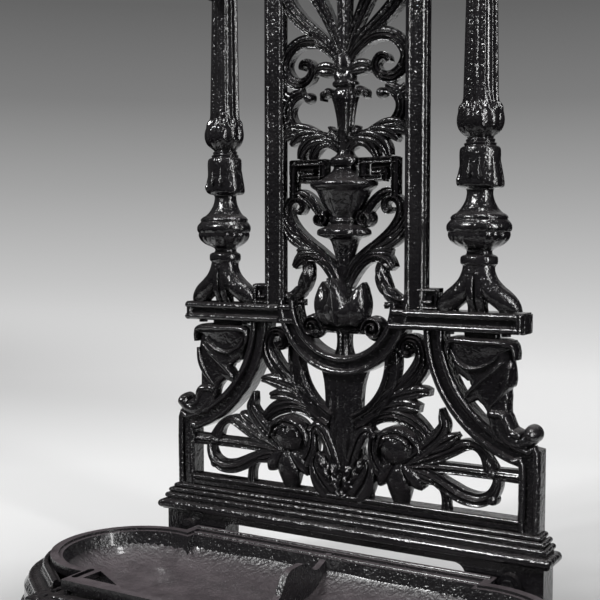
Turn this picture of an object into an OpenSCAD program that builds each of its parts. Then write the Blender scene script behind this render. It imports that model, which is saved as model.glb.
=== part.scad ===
// Cast-iron umbrella stand: a break-front plinth with a lift-out drip pan, and behind it a pierced back
// with a moulded beam, a shouldered lower panel, two baluster columns and a framed urn ornament.
// The floor is z = 0, the front faces -Y, and the origin is the centre of the footprint.

/* [Back] */
// Height of the lower panel's foot above the floor
panel_z = 120; // [116:1:130]
// Thickness of the frames of the back
frame_depth = 24; // [22:1:27]
// Half of the lower panel's width
panel_half = 250; // [246:1:256]
// Height of the lower panel's side posts, where the shoulders begin
post_height = 94; // [90:1:100]
// Width of the beaded bands that frame the lower panel
band_width = 25; // [22:1:27]
// Radius of the beads along the bands
bead_radius = 3.6; // [2.6:0.1:4]
// Height of the sill that closes the lower panel's foot
sill_height = 13; // [11:1:15]
// Distance from the back's rear face to the front of the beam's fascia
fascia_depth = 34; // [31:1:38]
// Projection of the beam's lowest bead past the panel's face
beam_projection = 20; // [18:1:22]
// Height of the beam
beam_height = 42; // [40:1:43]
// Half of the open width between the legs
leg_gap = 168; // [160:1:176]

/* [Ledge] */
// Height of the ledge's underside above the panel's foot
ledge_z = 223; // [220:1:226]
// Height of the ledge
ledge_height = 24; // [21:1:27]
// Half of the ledge's length
ledge_half = 231; // [226:1:236]
// Distance from the back's rear face to the front of the ledge
ledge_depth = 30; // [28:1:33]
// Inner radius of the hanging loop
loop_radius = 66; // [62:1:68]

/* [Centre frame] */
// Half of the open width between the centre bars
bar_inner = 83; // [81:1:86]
// Width of each centre bar
bar_width = 30; // [28:1:32]
// Depth of each centre bar
bar_depth = 18; // [16:1:20]
// Length of the centre bars, from the ledge to the arch
bar_length = 530; // [510:5:560]

/* [Columns] */
// Distance of each column's axis from the middle
column_x = 175; // [173:1:178]
// Distance from the back's rear face to the flat rear of the columns
column_back = 14; // [12:1:16]
// Radius of the column's vase
vase_radius = 40; // [37:1:42]
// Radius of the column's ball
ball_radius = 29; // [27:1:31]
// Radius of the shaft at its foot
shaft_foot = 20; // [18:0.5:22]
// Radius of the shaft at its top
shaft_top = 14; // [13:0.5:16]
// Height of the shaft
shaft_height = 236; // [226:1:250]

/* [Stick rail] */
// Height of the stick rail above the floor
rail_z = 770; // [764:1:790]
// Radius of the rail's bar
rail_radius = 6; // [5:0.5:7]
// Reach of the rail in front of the columns' flat rear
rail_reach = 210; // [190:5:230]
// Radius of the bend at the rail's front corners
rail_bend = 60; // [45:5:75]

/* [Drip pan] */
// Height of the pan's rim above the floor
rim_z = 70; // [66:1:72]
// Distance of the centre of each round end from the middle
end_x = 216; // [212:1:222]
// Outer radius of the pan's round ends
end_radius = 99; // [95:1:102]
// Half of the width of the pan's square middle
pan_half = 208; // [202:1:210]
// Distance from the round ends' centre line to the pan's front edge
pan_front = 133; // [129:1:138]
// Distance from the round ends' centre line to the pan's rear edge
pan_rear = 123; // [119:1:124]
// Depth of the pan below its rim
pan_depth = 38; // [34:1:42]
// Thickness of the pan's floor and walls
pan_wall = 5; // [4:0.5:6]
// Width of the pan's flat rim
rim_width = 14; // [12:1:16]
// Height of the rim's outer edge
rim_edge = 11; // [9:1:13]

/* [Plinth] */
// Reach of the plinth's foot past the pan's edge
plinth_reach = 36; // [34:1:39]
// Clearance between the pan and the plinth
pan_clearance = 1; // [0.6:0.1:1.4]

/* [Fixings] */
// Radius of the shank of the base bolts
bolt_radius = 4; // [3:0.5:5]
// Radius of the shank of the column screws
screw_radius = 3; // [2.5:0.5:3.5]
// Clearance between a shank and its hole
shank_clearance = 0.2; // [0.1:0.05:0.4]

/* [Hidden] */
$fn = 64;

iron = "#262425";
dull_iron = "#4a4646";
seat = 0.3;
rear_y = pan_front + plinth_reach - 8;
bar_outer = bar_inner + bar_width;
ledge_top = ledge_z + ledge_height;
post_inner = panel_half - band_width;

// Drawing plane: x to the right, y up from the panel's foot, and z forward from the back's rear face.
module upright() translate([0, rear_y, panel_z]) rotate([90, 0, 0]) children();

module both() {
    children();
    mirror([1, 0, 0]) children();
}

// A smooth line through control points [x, y, half width], with n steps between each two of them.
function between(a, b, c, d, t) =
    0.5 * (2 * b + (c - a) * t + (2 * a - 5 * b + 4 * c - d) * t * t + (3 * b - a - 3 * c + d) * t * t * t);
function smooth(p, n) = concat(
    [for (i = [0:len(p) - 2]) for (k = [0:n - 1])
        between(p[max(i - 1, 0)], p[i], p[i + 1], p[min(i + 2, len(p) - 1)], k / n)],
    [p[len(p) - 1]]);
function heading(p, i) =
    let (a = p[max(i - 1, 0)], b = p[min(i + 1, len(p) - 1)], d = [b[0] - a[0], b[1] - a[1]]) d / norm(d);
function side(p, i, s) = let (h = heading(p, i)) [p[i][0] - s * h[1] * p[i][2], p[i][1] + s * h[0] * p[i][2]];
function outline(p) = concat(
    [for (i = [0:len(p) - 1]) side(p, i, 1)],
    [for (i = [len(p) - 1:-1:0]) side(p, i, -1)]);

// A curl that winds in from radius r0 to r1, as points for a stroke.
function curl(c, r0, r1, a0, turn, w0, w1, n = 14) = [for (i = [0:n]) let (t = i / n, r = r0 + (r1 - r0) * t)
    [c[0] + r * cos(a0 + turn * t), c[1] + r * sin(a0 + turn * t), w0 + (w1 - w0) * t]];

// Part of a round, as points of a profile.
function round_part(x, y, r, a0, a1, n = 8) =
    [for (i = [0:n]) let (a = a0 + (a1 - a0) * i / n) [x + r * cos(a), y + r * sin(a)]];

function flip(p) = [for (q = p) [-q[0], q[1], q[2]]];
function narrow(p, f) = [for (q = p) [q[0], q[1], q[2] * f]];

// Strokes stretched to fit their frame: fx across from the middle, and fy up from height y0.
function fitted(strokes, fx, fy = 1, y0 = 0) =
    [for (p = strokes) [for (q = p) [q[0] * fx, y0 + (q[1] - y0) * fy, q[2]]]];

// Flat strokes of ornament between two depths, the pairs also mirrored to the other side.
module layer(pairs, singles, from, to, f = 1, n = 4) translate([0, 0, from]) linear_extrude(to - from) {
    for (p = concat(pairs, [for (q = pairs) flip(q)], singles)) polygon(outline(smooth(narrow(p, f), n)));
}

// The same strokes with a raised rib along the middle of each.
module carving(pairs, singles, from, to, rib = 3) {
    layer(pairs, singles, from, to);
    layer(pairs, singles, to - 1, to + rib, 0.42);
}

// The beaded section of a band: across, and forward from the rear face.
module band_section(width, depth) {
    square([width, depth - bead_radius]);
    for (x = [bead_radius, width - bead_radius]) translate([x, depth - bead_radius]) circle(bead_radius);
}

// A straight band from p along angle a, lying to the left of its line.
module band_run(p, a, length, width, depth) translate([p[0], p[1], 0]) rotate(a) rotate([90, 0, 90])
    linear_extrude(length) band_section(width, depth);

module band_arc(c, r, width, depth, a0, a1) translate([c[0], c[1], 0]) rotate(a0)
    rotate_extrude(angle = a1 - a0) translate([r, 0]) band_section(width, depth);

// ---- lower frame ----

shoulder_x = panel_half + 18.5;
shoulder_y = ledge_z + 5;
shoulder_radius = norm([shoulder_x - panel_half, shoulder_y - post_height]);
shoulder_outer = shoulder_radius + band_width;
loop_y = ledge_top + 6;
loop_outer = loop_radius + band_width;
strip_centre = [17, 183];
strip_radius = 74;
strip_width = 21;

bead_inset = bead_radius + 0.3;

// Height at which a line at x meets a circle of radius r round the shoulder's centre.
function on_shoulder(x, r) = shoulder_y - sqrt(r * r - pow(shoulder_x - x, 2));

// A bead up the post at x, with a ball where it turns into the shoulder's bead of radius r.
module turned_bead(x, r) translate([0, 0, frame_depth - bead_radius]) {
    translate([x, 0, 0]) rotate([-90, 0, 0]) cylinder(h = on_shoulder(x, r), r = bead_radius);
    translate([x, on_shoulder(x, r), 0]) sphere(bead_radius + 0.3);
    translate([shoulder_x, shoulder_y, 0]) rotate(179)
        rotate_extrude(angle = 91 - asin((shoulder_x - x) / r)) translate([r, 0]) circle(bead_radius);
}

module posts_and_shoulders() both() difference() {
    union() {
        linear_extrude(frame_depth - bead_radius) {
            translate([post_inner, 0]) square([band_width, post_height]);
            intersection() {
                translate([shoulder_x, shoulder_y]) difference() {
                    circle(shoulder_outer);
                    circle(shoulder_radius);
                }
                square([panel_half, shoulder_y]);
            }
        }
        turned_bead(panel_half - bead_inset, shoulder_radius + bead_inset);
        turned_bead(post_inner + bead_inset, shoulder_outer - bead_inset);
    }
    translate([0, ledge_z, -1]) cube([panel_half, ledge_height, 2 * frame_depth]);
}

// The sill, with a bead along its front arris.
module sill() rotate([90, 0, 90]) linear_extrude(2 * post_inner + 2, center = true) {
    square([sill_height, frame_depth - 5]);
    translate([sill_height - 2.5, frame_depth - 4]) circle(2.5);
    translate([2, frame_depth - 5]) square([4, 4]);
}

// The beam's moulding: height above the beam's foot across, and distance past the panel's face.
module beam_profile() {
    fascia = fascia_depth - frame_depth;
    square([beam_height, 1]);
    square([beam_height * 0.30, fascia]);
    translate([beam_height * 0.2, 0]) square([beam_height * 0.3, beam_projection - 5]);
    translate([beam_height * 0.36, beam_projection - 6]) circle(6);
    translate([beam_height * 0.5, 0]) square([beam_height * 0.16, beam_projection * 0.55]);
    translate([beam_height * 0.62, beam_projection * 0.55 - 1.5]) circle(3.6);
    translate([beam_height * 0.6, 0]) square([beam_height * 0.2, beam_projection * 0.35]);
    translate([beam_height * 0.79, beam_projection * 0.3]) circle(3.3);
    translate([beam_height * 0.8, 0]) square([beam_height * 0.15, beam_projection * 0.12]);
    translate([beam_height - 3.4, 1]) circle(3.2);
}

// One profile runs along the front and another returns along each end, so the corners are mitred.
module beam() translate([0, -beam_height, 0]) intersection() {
    rotate([90, 0, 90]) linear_extrude(2 * (panel_half + beam_projection + 1), center = true) {
        square([beam_height, frame_depth]);
        translate([0, frame_depth]) beam_profile();
    }
    linear_extrude(frame_depth + beam_projection + 1) both() {
        square([panel_half, beam_height]);
        translate([panel_half, 0]) mirror([1, -1, 0]) beam_profile();
    }
}

leg_half = panel_half + fascia_depth - frame_depth;
leg_corner = 14;

// The legs stand under the beam's fascia; a small quarter round joins each to the beam's underside.
module legs() both() {
    translate([leg_gap, -panel_z, 0]) cube([leg_half - leg_gap, panel_z - beam_height, fascia_depth]);
    difference() {
        translate([leg_gap - leg_corner, -beam_height - leg_corner, 0])
            cube([leg_corner, leg_corner, fascia_depth]);
        translate([leg_gap - leg_corner, -beam_height - leg_corner, -1])
            cylinder(h = fascia_depth + 2, r = leg_corner);
    }
}

module ledge() both() difference() {
    band_run([loop_radius, ledge_z], 0, ledge_half - loop_radius, ledge_height, ledge_depth);
    translate([0, loop_y, -1]) cylinder(h = ledge_depth + 2, r = loop_radius + 5);
}

module loop() difference() {
    band_arc([0, loop_y], loop_radius, band_width, frame_depth + 2, 180, 360);
    translate([-panel_half, ledge_top, -1]) cube([2 * panel_half, ledge_height, 2 * frame_depth]);
}

claw_x = 39;
claw_half = 9;
screw_x = claw_x - 5;
bolt_beside_pan = 14;
base_bolts_at = [[pan_half + bolt_beside_pan, -56], [leg_gap + 18, -92]];
screw_h = column_back + 7;
screw_hole = screw_radius + shank_clearance;
stud_radius = screw_radius + 1;
stud_hole = stud_radius + shank_clearance;
stud_h = column_back + 9;

module lower_frame() color(iron) upright() difference() {
    union() {
        posts_and_shoulders();
        sill();
        beam();
        legs();
        ledge();
        loop();
    }
    both() {
        for (p = base_bolts_at) translate([p[0], p[1], -1])
            cylinder(h = fascia_depth + 2, r = bolt_radius + shank_clearance);
        for (s = [-1, 1]) translate([column_x + s * screw_x, ledge_z - 1, screw_h]) rotate([-90, 0, 0])
            cylinder(h = ledge_height + 2, r = screw_hole);
    }
}

// ---- lower scrollwork ----

low = 8;
high = 20;

// The carving is drawn for a panel this wide, and stretched to the real one.
drawn_panel_half = 225;
panel_stretch = post_inner / drawn_panel_half;

// The open window of the lower panel, which trims what stands in it.
module panel_window() difference() {
    translate([-post_inner, sill_height, -1]) cube([2 * post_inner, ledge_z - sill_height, 3 * frame_depth]);
    both() translate([shoulder_x, shoulder_y, -2]) cylinder(h = 4 * frame_depth, r = shoulder_outer);
    translate([0, loop_y, -2]) cylinder(h = 4 * frame_depth, r = loop_outer);
}

trunk_leaves = [
    [[24, 10, 15], [18, 50, 11], [16, 100, 9], [20, 140, 9], [22, 166, 6]],
    [[14, 92, 5], [28, 98, 6], [41, 96, 5], [48, 84, 4], [46, 70, 5], [39, 56, 6], [26, 50, 6]],
    [[26, 10, 12], [35, 26, 11], [38, 42, 8], [32, 56, 4]]];
trunk_middle = [[[0, 10, 19], [0, 50, 16], [0, 110, 14], [0, 165, 17]]];

// The beaded strips that fall from the loop's shoulders to the trunk.
module strips() both()
    band_arc([-strip_centre[0], strip_centre[1]], strip_radius, strip_width, high + 3, -56, 6);

leaf_sprays = [
    [[40, 122, 4], [58, 136, 6], [76, 151, 7], [91, 164, 8], [101, 178, 8], [104, 193, 7], [98, 204, 6]],
    [[30, 108, 6], [55, 128, 9], [80, 141, 9], [99, 149, 7], [116, 149, 3]],
    [[40, 110, 6], [62, 121, 8], [85, 128, 9], [105, 129, 4]],
    [[20, 88, 5], [34, 103, 7], [54, 113, 6], [76, 115, 6], [96, 109, 6], [110, 98, 6], [120, 84, 5]]];

rosette = [77 * panel_stretch, 74];
rosette_radius = 30;
petals = [
    [[77, 52, 12], [77, 36, 17], [77, 22, 14], [77, 10, 10]],
    [[66, 56, 8], [56, 46, 8], [48, 40, 4]],
    [[92, 54, 8], [102, 44, 8], [110, 38, 4]]];

module rosettes() both() {
    translate([rosette[0], rosette[1], low + 2]) intersection() {
        sphere(rosette_radius);
        translate([0, 0, rosette_radius]) cube(2 * rosette_radius, center = true);
    }
    for (a = [20:72:360])
        translate([rosette[0] + 17 * cos(a), rosette[1] + 17 * sin(a), low + 18]) sphere(13);
    translate([88 * panel_stretch, 199, low]) cylinder(h = high - low + 3, r = 10);
}

spears = [
    [[96, 62, 8], [130, 60, 7], [170, 61, 6], [201, 62, 5], [drawn_panel_half + 2, 62, 5]],
    [[100, 66, 5], [124, 76, 5], [145, 87, 6], [163, 93, 6], [178, 90, 6], [190, 84, 6]],
    [[195, 62, 6], [194, 76, 6], [190, 94, 6]],
    [[104, 57, 5], [130, 47, 6], [152, 38, 7], [172, 32, 7], [190, 36, 6], [202, 46, 5], [204, 60, 5]],
    [[100, 70, 5], [118, 83, 8], [132, 98, 10], [137, 112, 8], [135, 125, 4], [131, 132, 2]],
    [[116, 80, 5], [134, 89, 6], [149, 99, 5], [162, 112, 4]],
    [[122, 52, 6], [133, 42, 5], [139, 29, 5], [141, 10, 5]]];

module lower_scrollwork() color(iron) upright() intersection() {
    union() {
        carving(fitted(concat(trunk_leaves, leaf_sprays, petals, spears), panel_stretch),
            trunk_middle, low, high);
        strips();
        rosettes();
    }
    panel_window();
}

// ---- bracket legs under the ledge's ends ----

bracket_strokes = [
    [[145, 206, 5], [150, 209, 8], [180, 209, 8], [212, 208, 9], [218, 203, 6]],
    [[198, 206, 23], [199, 186, 22], [199, 166, 20], [204, 150, 14], [207, 138, 13], [213, 124, 14],
        [224, 112, 13], [240, 104, 8]],
    [[178, 182, 12], [184, 164, 12], [176, 150, 8], [160, 140, 6]],
    [[159, 204, 14], [158, 190, 10], [154, 174, 3]],
    [[206, 134, 12], [198, 120, 10], [200, 100, 8]]];

// The shoulder's centre for which the legs are drawn; the legs keep their place in the shoulder's hollow.
drawn_shoulder_x = 268.5;

module bracket_leg() intersection() {
    translate([shoulder_x - drawn_shoulder_x, 0, 0]) {
        translate([155, ledge_z - 10, low]) cube([46, 10, 16]);
        carving([], bracket_strokes, low, high);
        translate([241, 112, low + 4]) sphere(12);
    }
    translate([shoulder_x, shoulder_y, -1]) cylinder(h = 3 * frame_depth, r = shoulder_radius);
    translate([0, 0, low]) cube([2 * panel_half, ledge_z, 2 * frame_depth]);
}

module left_bracket_leg() color(iron) upright() mirror([1, 0, 0]) bracket_leg();
module right_bracket_leg() color(iron) upright() bracket_leg();

// ---- columns ----

// Turns a profile [radius, height] half way round, with its flat side to the rear.
module half_turn(p) rotate([-90, 0, 0]) rotate(180) rotate_extrude(angle = 180)
    polygon(concat([[0, p[0][1]]], p, [[0, p[len(p) - 1][1]]]));

// The flat figure of the same profile, narrowed by f.
module silhouette(p, f = 1) polygon(concat(
    [for (q = p) [q[0] * f, q[1]]], [for (i = [len(p) - 1:-1:0]) [-p[i][0] * f, p[i][1]]]));

ball_y = 216;
ball_height = 42;
shaft_y = 232;
capital_y = shaft_y + shaft_height;
capital_height = 36;
shelf_y = ledge_top + capital_y + capital_height;
stud_depth = 13;
crest_stud_h = low + 8;
function shaft_at(y) = shaft_foot + (shaft_top - shaft_foot) * (y - shaft_y) / shaft_height;
column_profile = concat(
    [[18, 26], [17, 40], [18, 52]],
    round_part(19, 58, 6, -90, 90),
    [[16, 66], [16, 70], [20, 73], [28, 76], [33, 80], [34, 84], [36, 85], [37, 91], [vase_radius - 1, 92]],
    round_part(vase_radius - 4, 97, 4, -50, 60, 4),
    [[vase_radius - 5, 103], [28, 107], [25, 110], [22, 111], [19, 115], [16.5, 125], [16.5, 134], [19, 140]],
    [[28, 143], [31, 147], [28, 152], [24, 156], [24, 180], [21, 184]],
    [[17, 186], [18, 190], [14, 194], [14, 196]],
    [for (p = round_part(0, 0, 1, -58, 58, 9)) [ball_radius * p[0], ball_y + ball_height / 2 * p[1]]],
    [[shaft_foot, shaft_y + 4], [shaft_top, capital_y], [shaft_top + 4, capital_y + 3]],
    [[shaft_top + 4, capital_y + 7], [shaft_top + 1, capital_y + 9], [shaft_top + 3, capital_y + 20]],
    [[shaft_top + 9, capital_y + 26], [shaft_top + 11, capital_y + 28]],
    [[shaft_top + 11, capital_y + capital_height]]);

module claws() {
    carving([[[4, 44, 10], [16, 34, 12], [30, 26, 11], [claw_x, 16, claw_half], [claw_x, 6, claw_half],
        [claw_x, 0, claw_half]]],
        [[[0, 48, 13], [0, 30, 15], [0, 14, 11], [0, 0, 9]]], 0, 13);
}

rail_y = rail_z - panel_z;
rail_on_column = rail_y - ledge_top;
spigot_radius = rail_radius - 2;
taper = atan2(shaft_foot - shaft_top, shaft_height);

module shaft_rib() translate([shaft_foot - 1, shaft_y + 4, 0]) rotate([0, 0, taper]) rotate([-90, 0, 0])
    cylinder(h = shaft_height - 4, r = 2.6);

module column() difference() {
    translate([0, ledge_top, column_back]) {
        translate([0, 0, 2]) half_turn(column_profile);
        linear_extrude(2) silhouette(column_profile, 0.94);
        claws();
        for (a = [30:30:150]) translate([0, 0, 2]) rotate([0, -a, 0]) shaft_rib();
    }
    for (s = [-1, 1]) translate([s * screw_x, ledge_top - 1, screw_h]) rotate([-90, 0, 0])
        cylinder(h = 13, r = screw_hole);
    translate([0, rail_y, 0]) cylinder(h = 4 * frame_depth, r = spigot_radius + shank_clearance);
    translate([0, shelf_y - stud_depth - 1, stud_h]) rotate([-90, 0, 0])
        cylinder(h = stud_depth + 2, r = stud_hole);
}

module left_column() color(iron) upright() translate([-column_x, 0, 0]) column();
module right_column() color(iron) upright() translate([column_x, 0, 0]) column();

// ---- centre frame ----

arch_y = ledge_top + bar_length;

module bar_section() translate([0, low]) {
    square([bar_width, bar_depth - 5]);
    for (s = [0, 1]) translate([s * bar_width, 0]) mirror([s, 0]) {
        square([bar_width * 0.42, bar_depth - 3]);
        translate([3.2, bar_depth - 3.2]) circle(3.2);
        translate([bar_width * 0.42 - 2.4, bar_depth - 3]) circle(2.4);
    }
}

// A square block with a raised border round a sunk fret, which laps over the bar's outer edge.
block_x = 102;
block_size = column_x - claw_x - claw_half - block_x - 0.5;

module fret_block() {
    cube([block_size, block_size, frame_depth - low - 5]);
    linear_extrude(frame_depth - low + 1) difference() {
        square(block_size);
        translate([4, 4]) square(block_size - 8);
    }
    linear_extrude(frame_depth - low - 2) {
        translate([8, 8]) square(block_size - 16);
        translate([8, block_size / 2]) square([block_size - 12, 3]);
    }
}

module centre_frame() color(iron) upright() difference() {
    union() {
        both() {
            translate([bar_inner, ledge_top, 0]) rotate([-90, 0, 0]) mirror([0, 1, 0])
                linear_extrude(bar_length) bar_section();
            for (y = [ledge_top, shelf_y - block_size]) translate([block_x, y, low]) fret_block();
        }
        translate([0, arch_y, 0]) rotate_extrude(angle = 180) translate([bar_inner, 0]) bar_section();
    }
    translate([0, arch_y + bar_outer - 16, crest_stud_h]) rotate([-90, 0, 0])
        cylinder(h = 20, r = stud_hole);
}

// ---- ornament between the bars ----

urn_top = 523;
urn_profile = [
    [8, 272], [9, 290], [12, 305], [16, 318], [19, 329], [26, 332], [32, 336], [32, 341], [22, 346],
    [18, 348], [20, 352], [18, 357], [19, 359], [22, 370], [27, 379], [35, 388], [42, 392],
    [43, 396], [42, 400],
    [31, 402], [26, 404], [20, 409], [16, 414], [15, 417], [18, 419], [19, 424], [18, 429], [13, 431],
    [10, 436], [9.5, 456], [11, 475], [15, 494], [17, 499], [16, 510],
    [12, 513], [16, 515], [16, 520], [12, urn_top]];

lotus_sides = [[[14, 226, 9], [23, 242, 12], [27, 260, 9], [31, 279, 1.5]]];
lotus_middle = [[[0, 224, 15], [0, 245, 16], [0, 262, 10], [0, 280, 2]]];

module lotus() {
    layer(lotus_sides, [], low + 4, high + 2);
    layer([], lotus_middle, low + 4, high + 7);
    layer([curl([42, 221], 12, 4, 200, -420, 3, 2)], [], high - 3, high + 3, 1, 2);
    both() translate([42, 221, low + 2]) cylinder(h = high - low - 4, r = 16);
    carving([[[0, 221, 5], [32, 221, 5]]], [[[0, 222, 9], [0, 200, 9], [0, 184, 13]]], low + 4, high);
}

module key_fret() both() translate([0, 0, low]) linear_extrude(high - low + 2) {
    translate([24, 419]) square([49, 7]);
    translate([66, 380]) square([7, 46]);
    translate([24, 400]) square([7, 26]);
    translate([24, 399]) square([36, 6]);
    translate([53, 399]) square([7, 14]);
    translate([40, 408]) square([20, 5]);
}

scroll_strokes = [
    [[72, 384, 4], [58, 384, 5], [46, 378, 6], [37, 368, 6], [31, 358, 5]],
    [[5, 280, 5], [15, 296, 6], [32, 312, 6], [51, 326, 6], [67, 340, 6], [76, 354, 6], [79, 367, 6],
        [73, 376, 6], [65, 376, 5]],
    [[8, 270, 4], [18, 289, 6], [31, 302, 6], [46, 307, 6], [60, 304, 7], [70, 295, 6]],
    [[56, 303, 6], [53, 289, 8], [55, 275, 8], [62, 264, 8], [74, 258, 6], [bar_inner + 2, 256, 5]],
    [[4, 444, 5], [20, 452, 6], [38, 452, 7], [52, 444, 7], [60, 430, 6], [60, 422, 5]],
    [[4, 450, 4], [30, 455, 5], [50, 458, 6], [67, 465, 7], [76, 478, 7],
        [77, 492, 7], [70, 503, 7], [58, 508, 6]]];
scroll_leaves = [
    [[52, 320, 4], [68, 328, 6], [bar_inner + 2, 336, 9]],
    [[38, 314, 4], [54, 314, 5], [65, 313, 4]],
    [[66, 262, 6], [70, 252, 6], [71, ledge_top, 7]],
    [[58, 462, 5], [72, 461, 7], [bar_inner + 2, 458, 8]],
    [[74, 500, 5], [bar_inner + 2, 506, 7]],
    [[6, 446, 4], [15, 456, 5], [20, 465, 2]],
    [[8, 500, 4], [20, 507, 5], [28, 505, 5], [30, 498, 4]]];
scroll_buds = [[32, 354, 11], [64, 367, 8], [50, 501, 8]];

module scrolls() {
    key_fret();
    carving(scroll_strokes, [], low, high);
    layer(scroll_leaves, [], low, high - 2);
    both() {
        for (b = scroll_buds) translate([b[0], b[1], low]) cylinder(h = high - low + 2, r = b[2]);
        translate([loop_radius - 6, ledge_top, low]) cube([bar_inner - loop_radius + 8, 6, 12]);
    }
}

// The clear space between the bars, with the bowl of the loop below it.
module ornament_window() {
    translate([-bar_inner, ledge_top, -1]) cube([2 * bar_inner, bar_length, 4 * frame_depth]);
    translate([0, loop_y, -1]) cylinder(h = 4 * frame_depth, r = loop_radius);
    translate([0, arch_y, -1]) cylinder(h = 4 * frame_depth, r = bar_inner);
}

module urn_ornament() color(iron) upright() intersection() {
    union() {
        lotus();
        translate([0, 0, low + 4]) half_turn(urn_profile);
        translate([0, 0, low]) linear_extrude(5) silhouette(urn_profile);
        scrolls();
    }
    ornament_window();
    translate([-bar_inner, 0, -2]) cube([2 * bar_inner, urn_top, 5 * frame_depth]);
}

palmette_leaves = [
    [[6, 530, 6], [20, 534, 8], [32, 535, 7], [38, 531, 4]],
    [[8, 546, 5], [22, 560, 6], [40, 570, 7], [60, 570, 7], [76, 560, 7], [83, 545, 7], [78, 530, 7],
        [64, 522, 6], [51, 525, 6], [45, 535, 5], [49, 544, 4], [57, 545, 3]],
    [[8, 550, 5], [24, 567, 6], [42, 582, 7], [60, 597, 8], [74, 613, 8], [82, 630, 8], [83, 648, 6],
        [76, 661, 5], [64, 662, 5]],
    [[4, 554, 4], [12, 575, 5], [20, 592, 6], [30, 611, 7], [43, 632, 8], [55, 652, 8], [61, 671, 7],
        [57, 686, 6], [46, 689, 5]],
    [[2, 700, 5], [20, 716, 6], [42, 735, 7], [62, 757, 8], [76, 782, 8], [74, 806, 7], [62, 820, 7],
        [44, 820, 6]],
    [[2, 812, 6], [16, 814, 6], [34, 822, 6], [48, 834, 6], [58, 846, 6]]];
palmette_middle = [
    [[0, 545, 7], [0, 600, 8], [0, 640, 10], [0, 680, 11], [0, 705, 8], [0, 722, 3]],
    [[0, 860, 11], [0, 836, 12], [0, 812, 9], [0, 790, 2]]];

// The palmette is drawn for a frame this high above the urn, and stretched to the real one.
drawn_palmette_height = 337;
palmette_stretch = (arch_y + bar_inner - urn_top) / drawn_palmette_height;

module palmette() {
    layer([], [[[0, urn_top - 2, 12], [0, 540, 13], [0, 552, 9], [0, 560, 3]]], low, high + 6);
    carving(fitted(palmette_leaves, 1, palmette_stretch, urn_top),
        fitted(palmette_middle, 1, palmette_stretch, urn_top),
        low, high);
}

module palmette_ornament() color(iron) upright() intersection() {
    palmette();
    translate([-bar_inner, urn_top, -2]) cube([2 * bar_inner, bar_length, 5 * frame_depth]);
    ornament_window();
}

// ---- top shelves, finials and crest ----

shelf_height = 20;

module top_shelf() difference() {
    band_run([bar_outer, shelf_y], 0, column_x + 34 - bar_outer, shelf_height, ledge_depth + 8);
    translate([column_x, shelf_y - 1, stud_h]) rotate([-90, 0, 0])
        cylinder(h = shelf_height + 2, r = stud_hole);
}

module left_top_shelf() color(iron) upright() mirror([1, 0, 0]) top_shelf();
module right_top_shelf() color(iron) upright() top_shelf();

finial_profile = concat(
    [[22, 0], [22, 6], [13, 9], [9, 14], [9, 18], [14, 21], [14, 24], [9, 27], [9, 30]],
    round_part(0, 51, 22, -62, 62, 10),
    [[9, 73], [12, 76], [8, 81], [6, 92], [3, 103], [1.5, 108]]);

module finial() difference() {
    translate([0, shelf_y + shelf_height, column_back + 2]) half_turn(finial_profile);
    translate([0, shelf_y + shelf_height - 1, stud_h]) rotate([-90, 0, 0])
        cylinder(h = stud_depth + 2, r = stud_hole);
}

module left_finial() color(iron) upright() translate([-column_x, 0, 0]) finial();
module right_finial() color(iron) upright() translate([column_x, 0, 0]) finial();

crest_y = arch_y + bar_outer;

crest_leaves = [
    [[6, crest_y, 8], [16, crest_y + 22, 8], [27, crest_y + 40, 7], [33, crest_y + 52, 3]],
    [[8, crest_y - 2, 7], [28, crest_y + 12, 8], [45, crest_y + 24, 7], [53, crest_y + 34, 3]],
    [[10, crest_y - 4, 7], [34, crest_y + 2, 8], [56, crest_y - 2, 7], [68, crest_y - 16, 6],
        [80, crest_y - 28, 5]]];
crest_middle = [[[0, crest_y - 4, 16], [0, crest_y + 14, 13], [0, crest_y + 40, 11], [0, crest_y + 66, 3]]];

module arch_crest() color(iron) upright() difference() {
    carving(crest_leaves, crest_middle, low, high);
    translate([0, arch_y, -1]) cylinder(h = 3 * frame_depth, r = bar_outer);
    translate([0, crest_y - 10, crest_stud_h]) rotate([-90, 0, 0])
        cylinder(h = 10 + stud_depth + 1, r = stud_hole);
}

// ---- stick rail and its brackets ----

shaft_at_rail = shaft_at(rail_on_column);
socket_front = column_back + 2 + shaft_at_rail + 26;

module rail_bracket() difference() {
    union() {
        translate([0, rail_y, column_back + shaft_at_rail - 6]) cylinder(h = 28 + 8, r = 12);
        translate([0, rail_y, socket_front - 6]) cylinder(h = 6, r = 14);
        translate([-shaft_at_rail - 4, rail_y - 13, column_back + 2]) cube([2 * shaft_at_rail + 8, 26, 14]);
    }
    translate([0, ledge_top, column_back + 2]) rotate([-90, 0, 0])
        translate([0, 0, shaft_y]) cylinder(h = shaft_height, r1 = shaft_foot + 2, r2 = shaft_top + 2);
    translate([0, rail_y, socket_front - 10]) cylinder(h = 12, r = rail_radius + shank_clearance);
    translate([0, rail_y, 0]) cylinder(h = 4 * frame_depth, r = spigot_radius + shank_clearance);
}

module left_rail_bracket() color(iron) upright() translate([-column_x, 0, 0]) rail_bracket();
module right_rail_bracket() color(iron) upright() translate([column_x, 0, 0]) rail_bracket();

module stick_rail() color(iron) upright() translate([0, rail_y, 0]) {
    reach = column_back + rail_reach;
    both() {
        translate([column_x, 0, reach - rail_bend]) mirror([0, 0, 1])
            cylinder(h = reach - rail_bend - socket_front + 10 - seat, r = rail_radius);
        translate([column_x, 0, column_back - 7.5])
            cylinder(h = socket_front + 2 - column_back, r = spigot_radius);
        translate([column_x - rail_bend, 0, reach - rail_bend]) rotate([90, 0, 0])
            rotate_extrude(angle = 90) translate([rail_bend, 0]) circle(rail_radius);
    }
    translate([0, 0, reach]) rotate([0, 90, 0])
        cylinder(h = 2 * (column_x - rail_bend), r = rail_radius, center = true);
}

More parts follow.
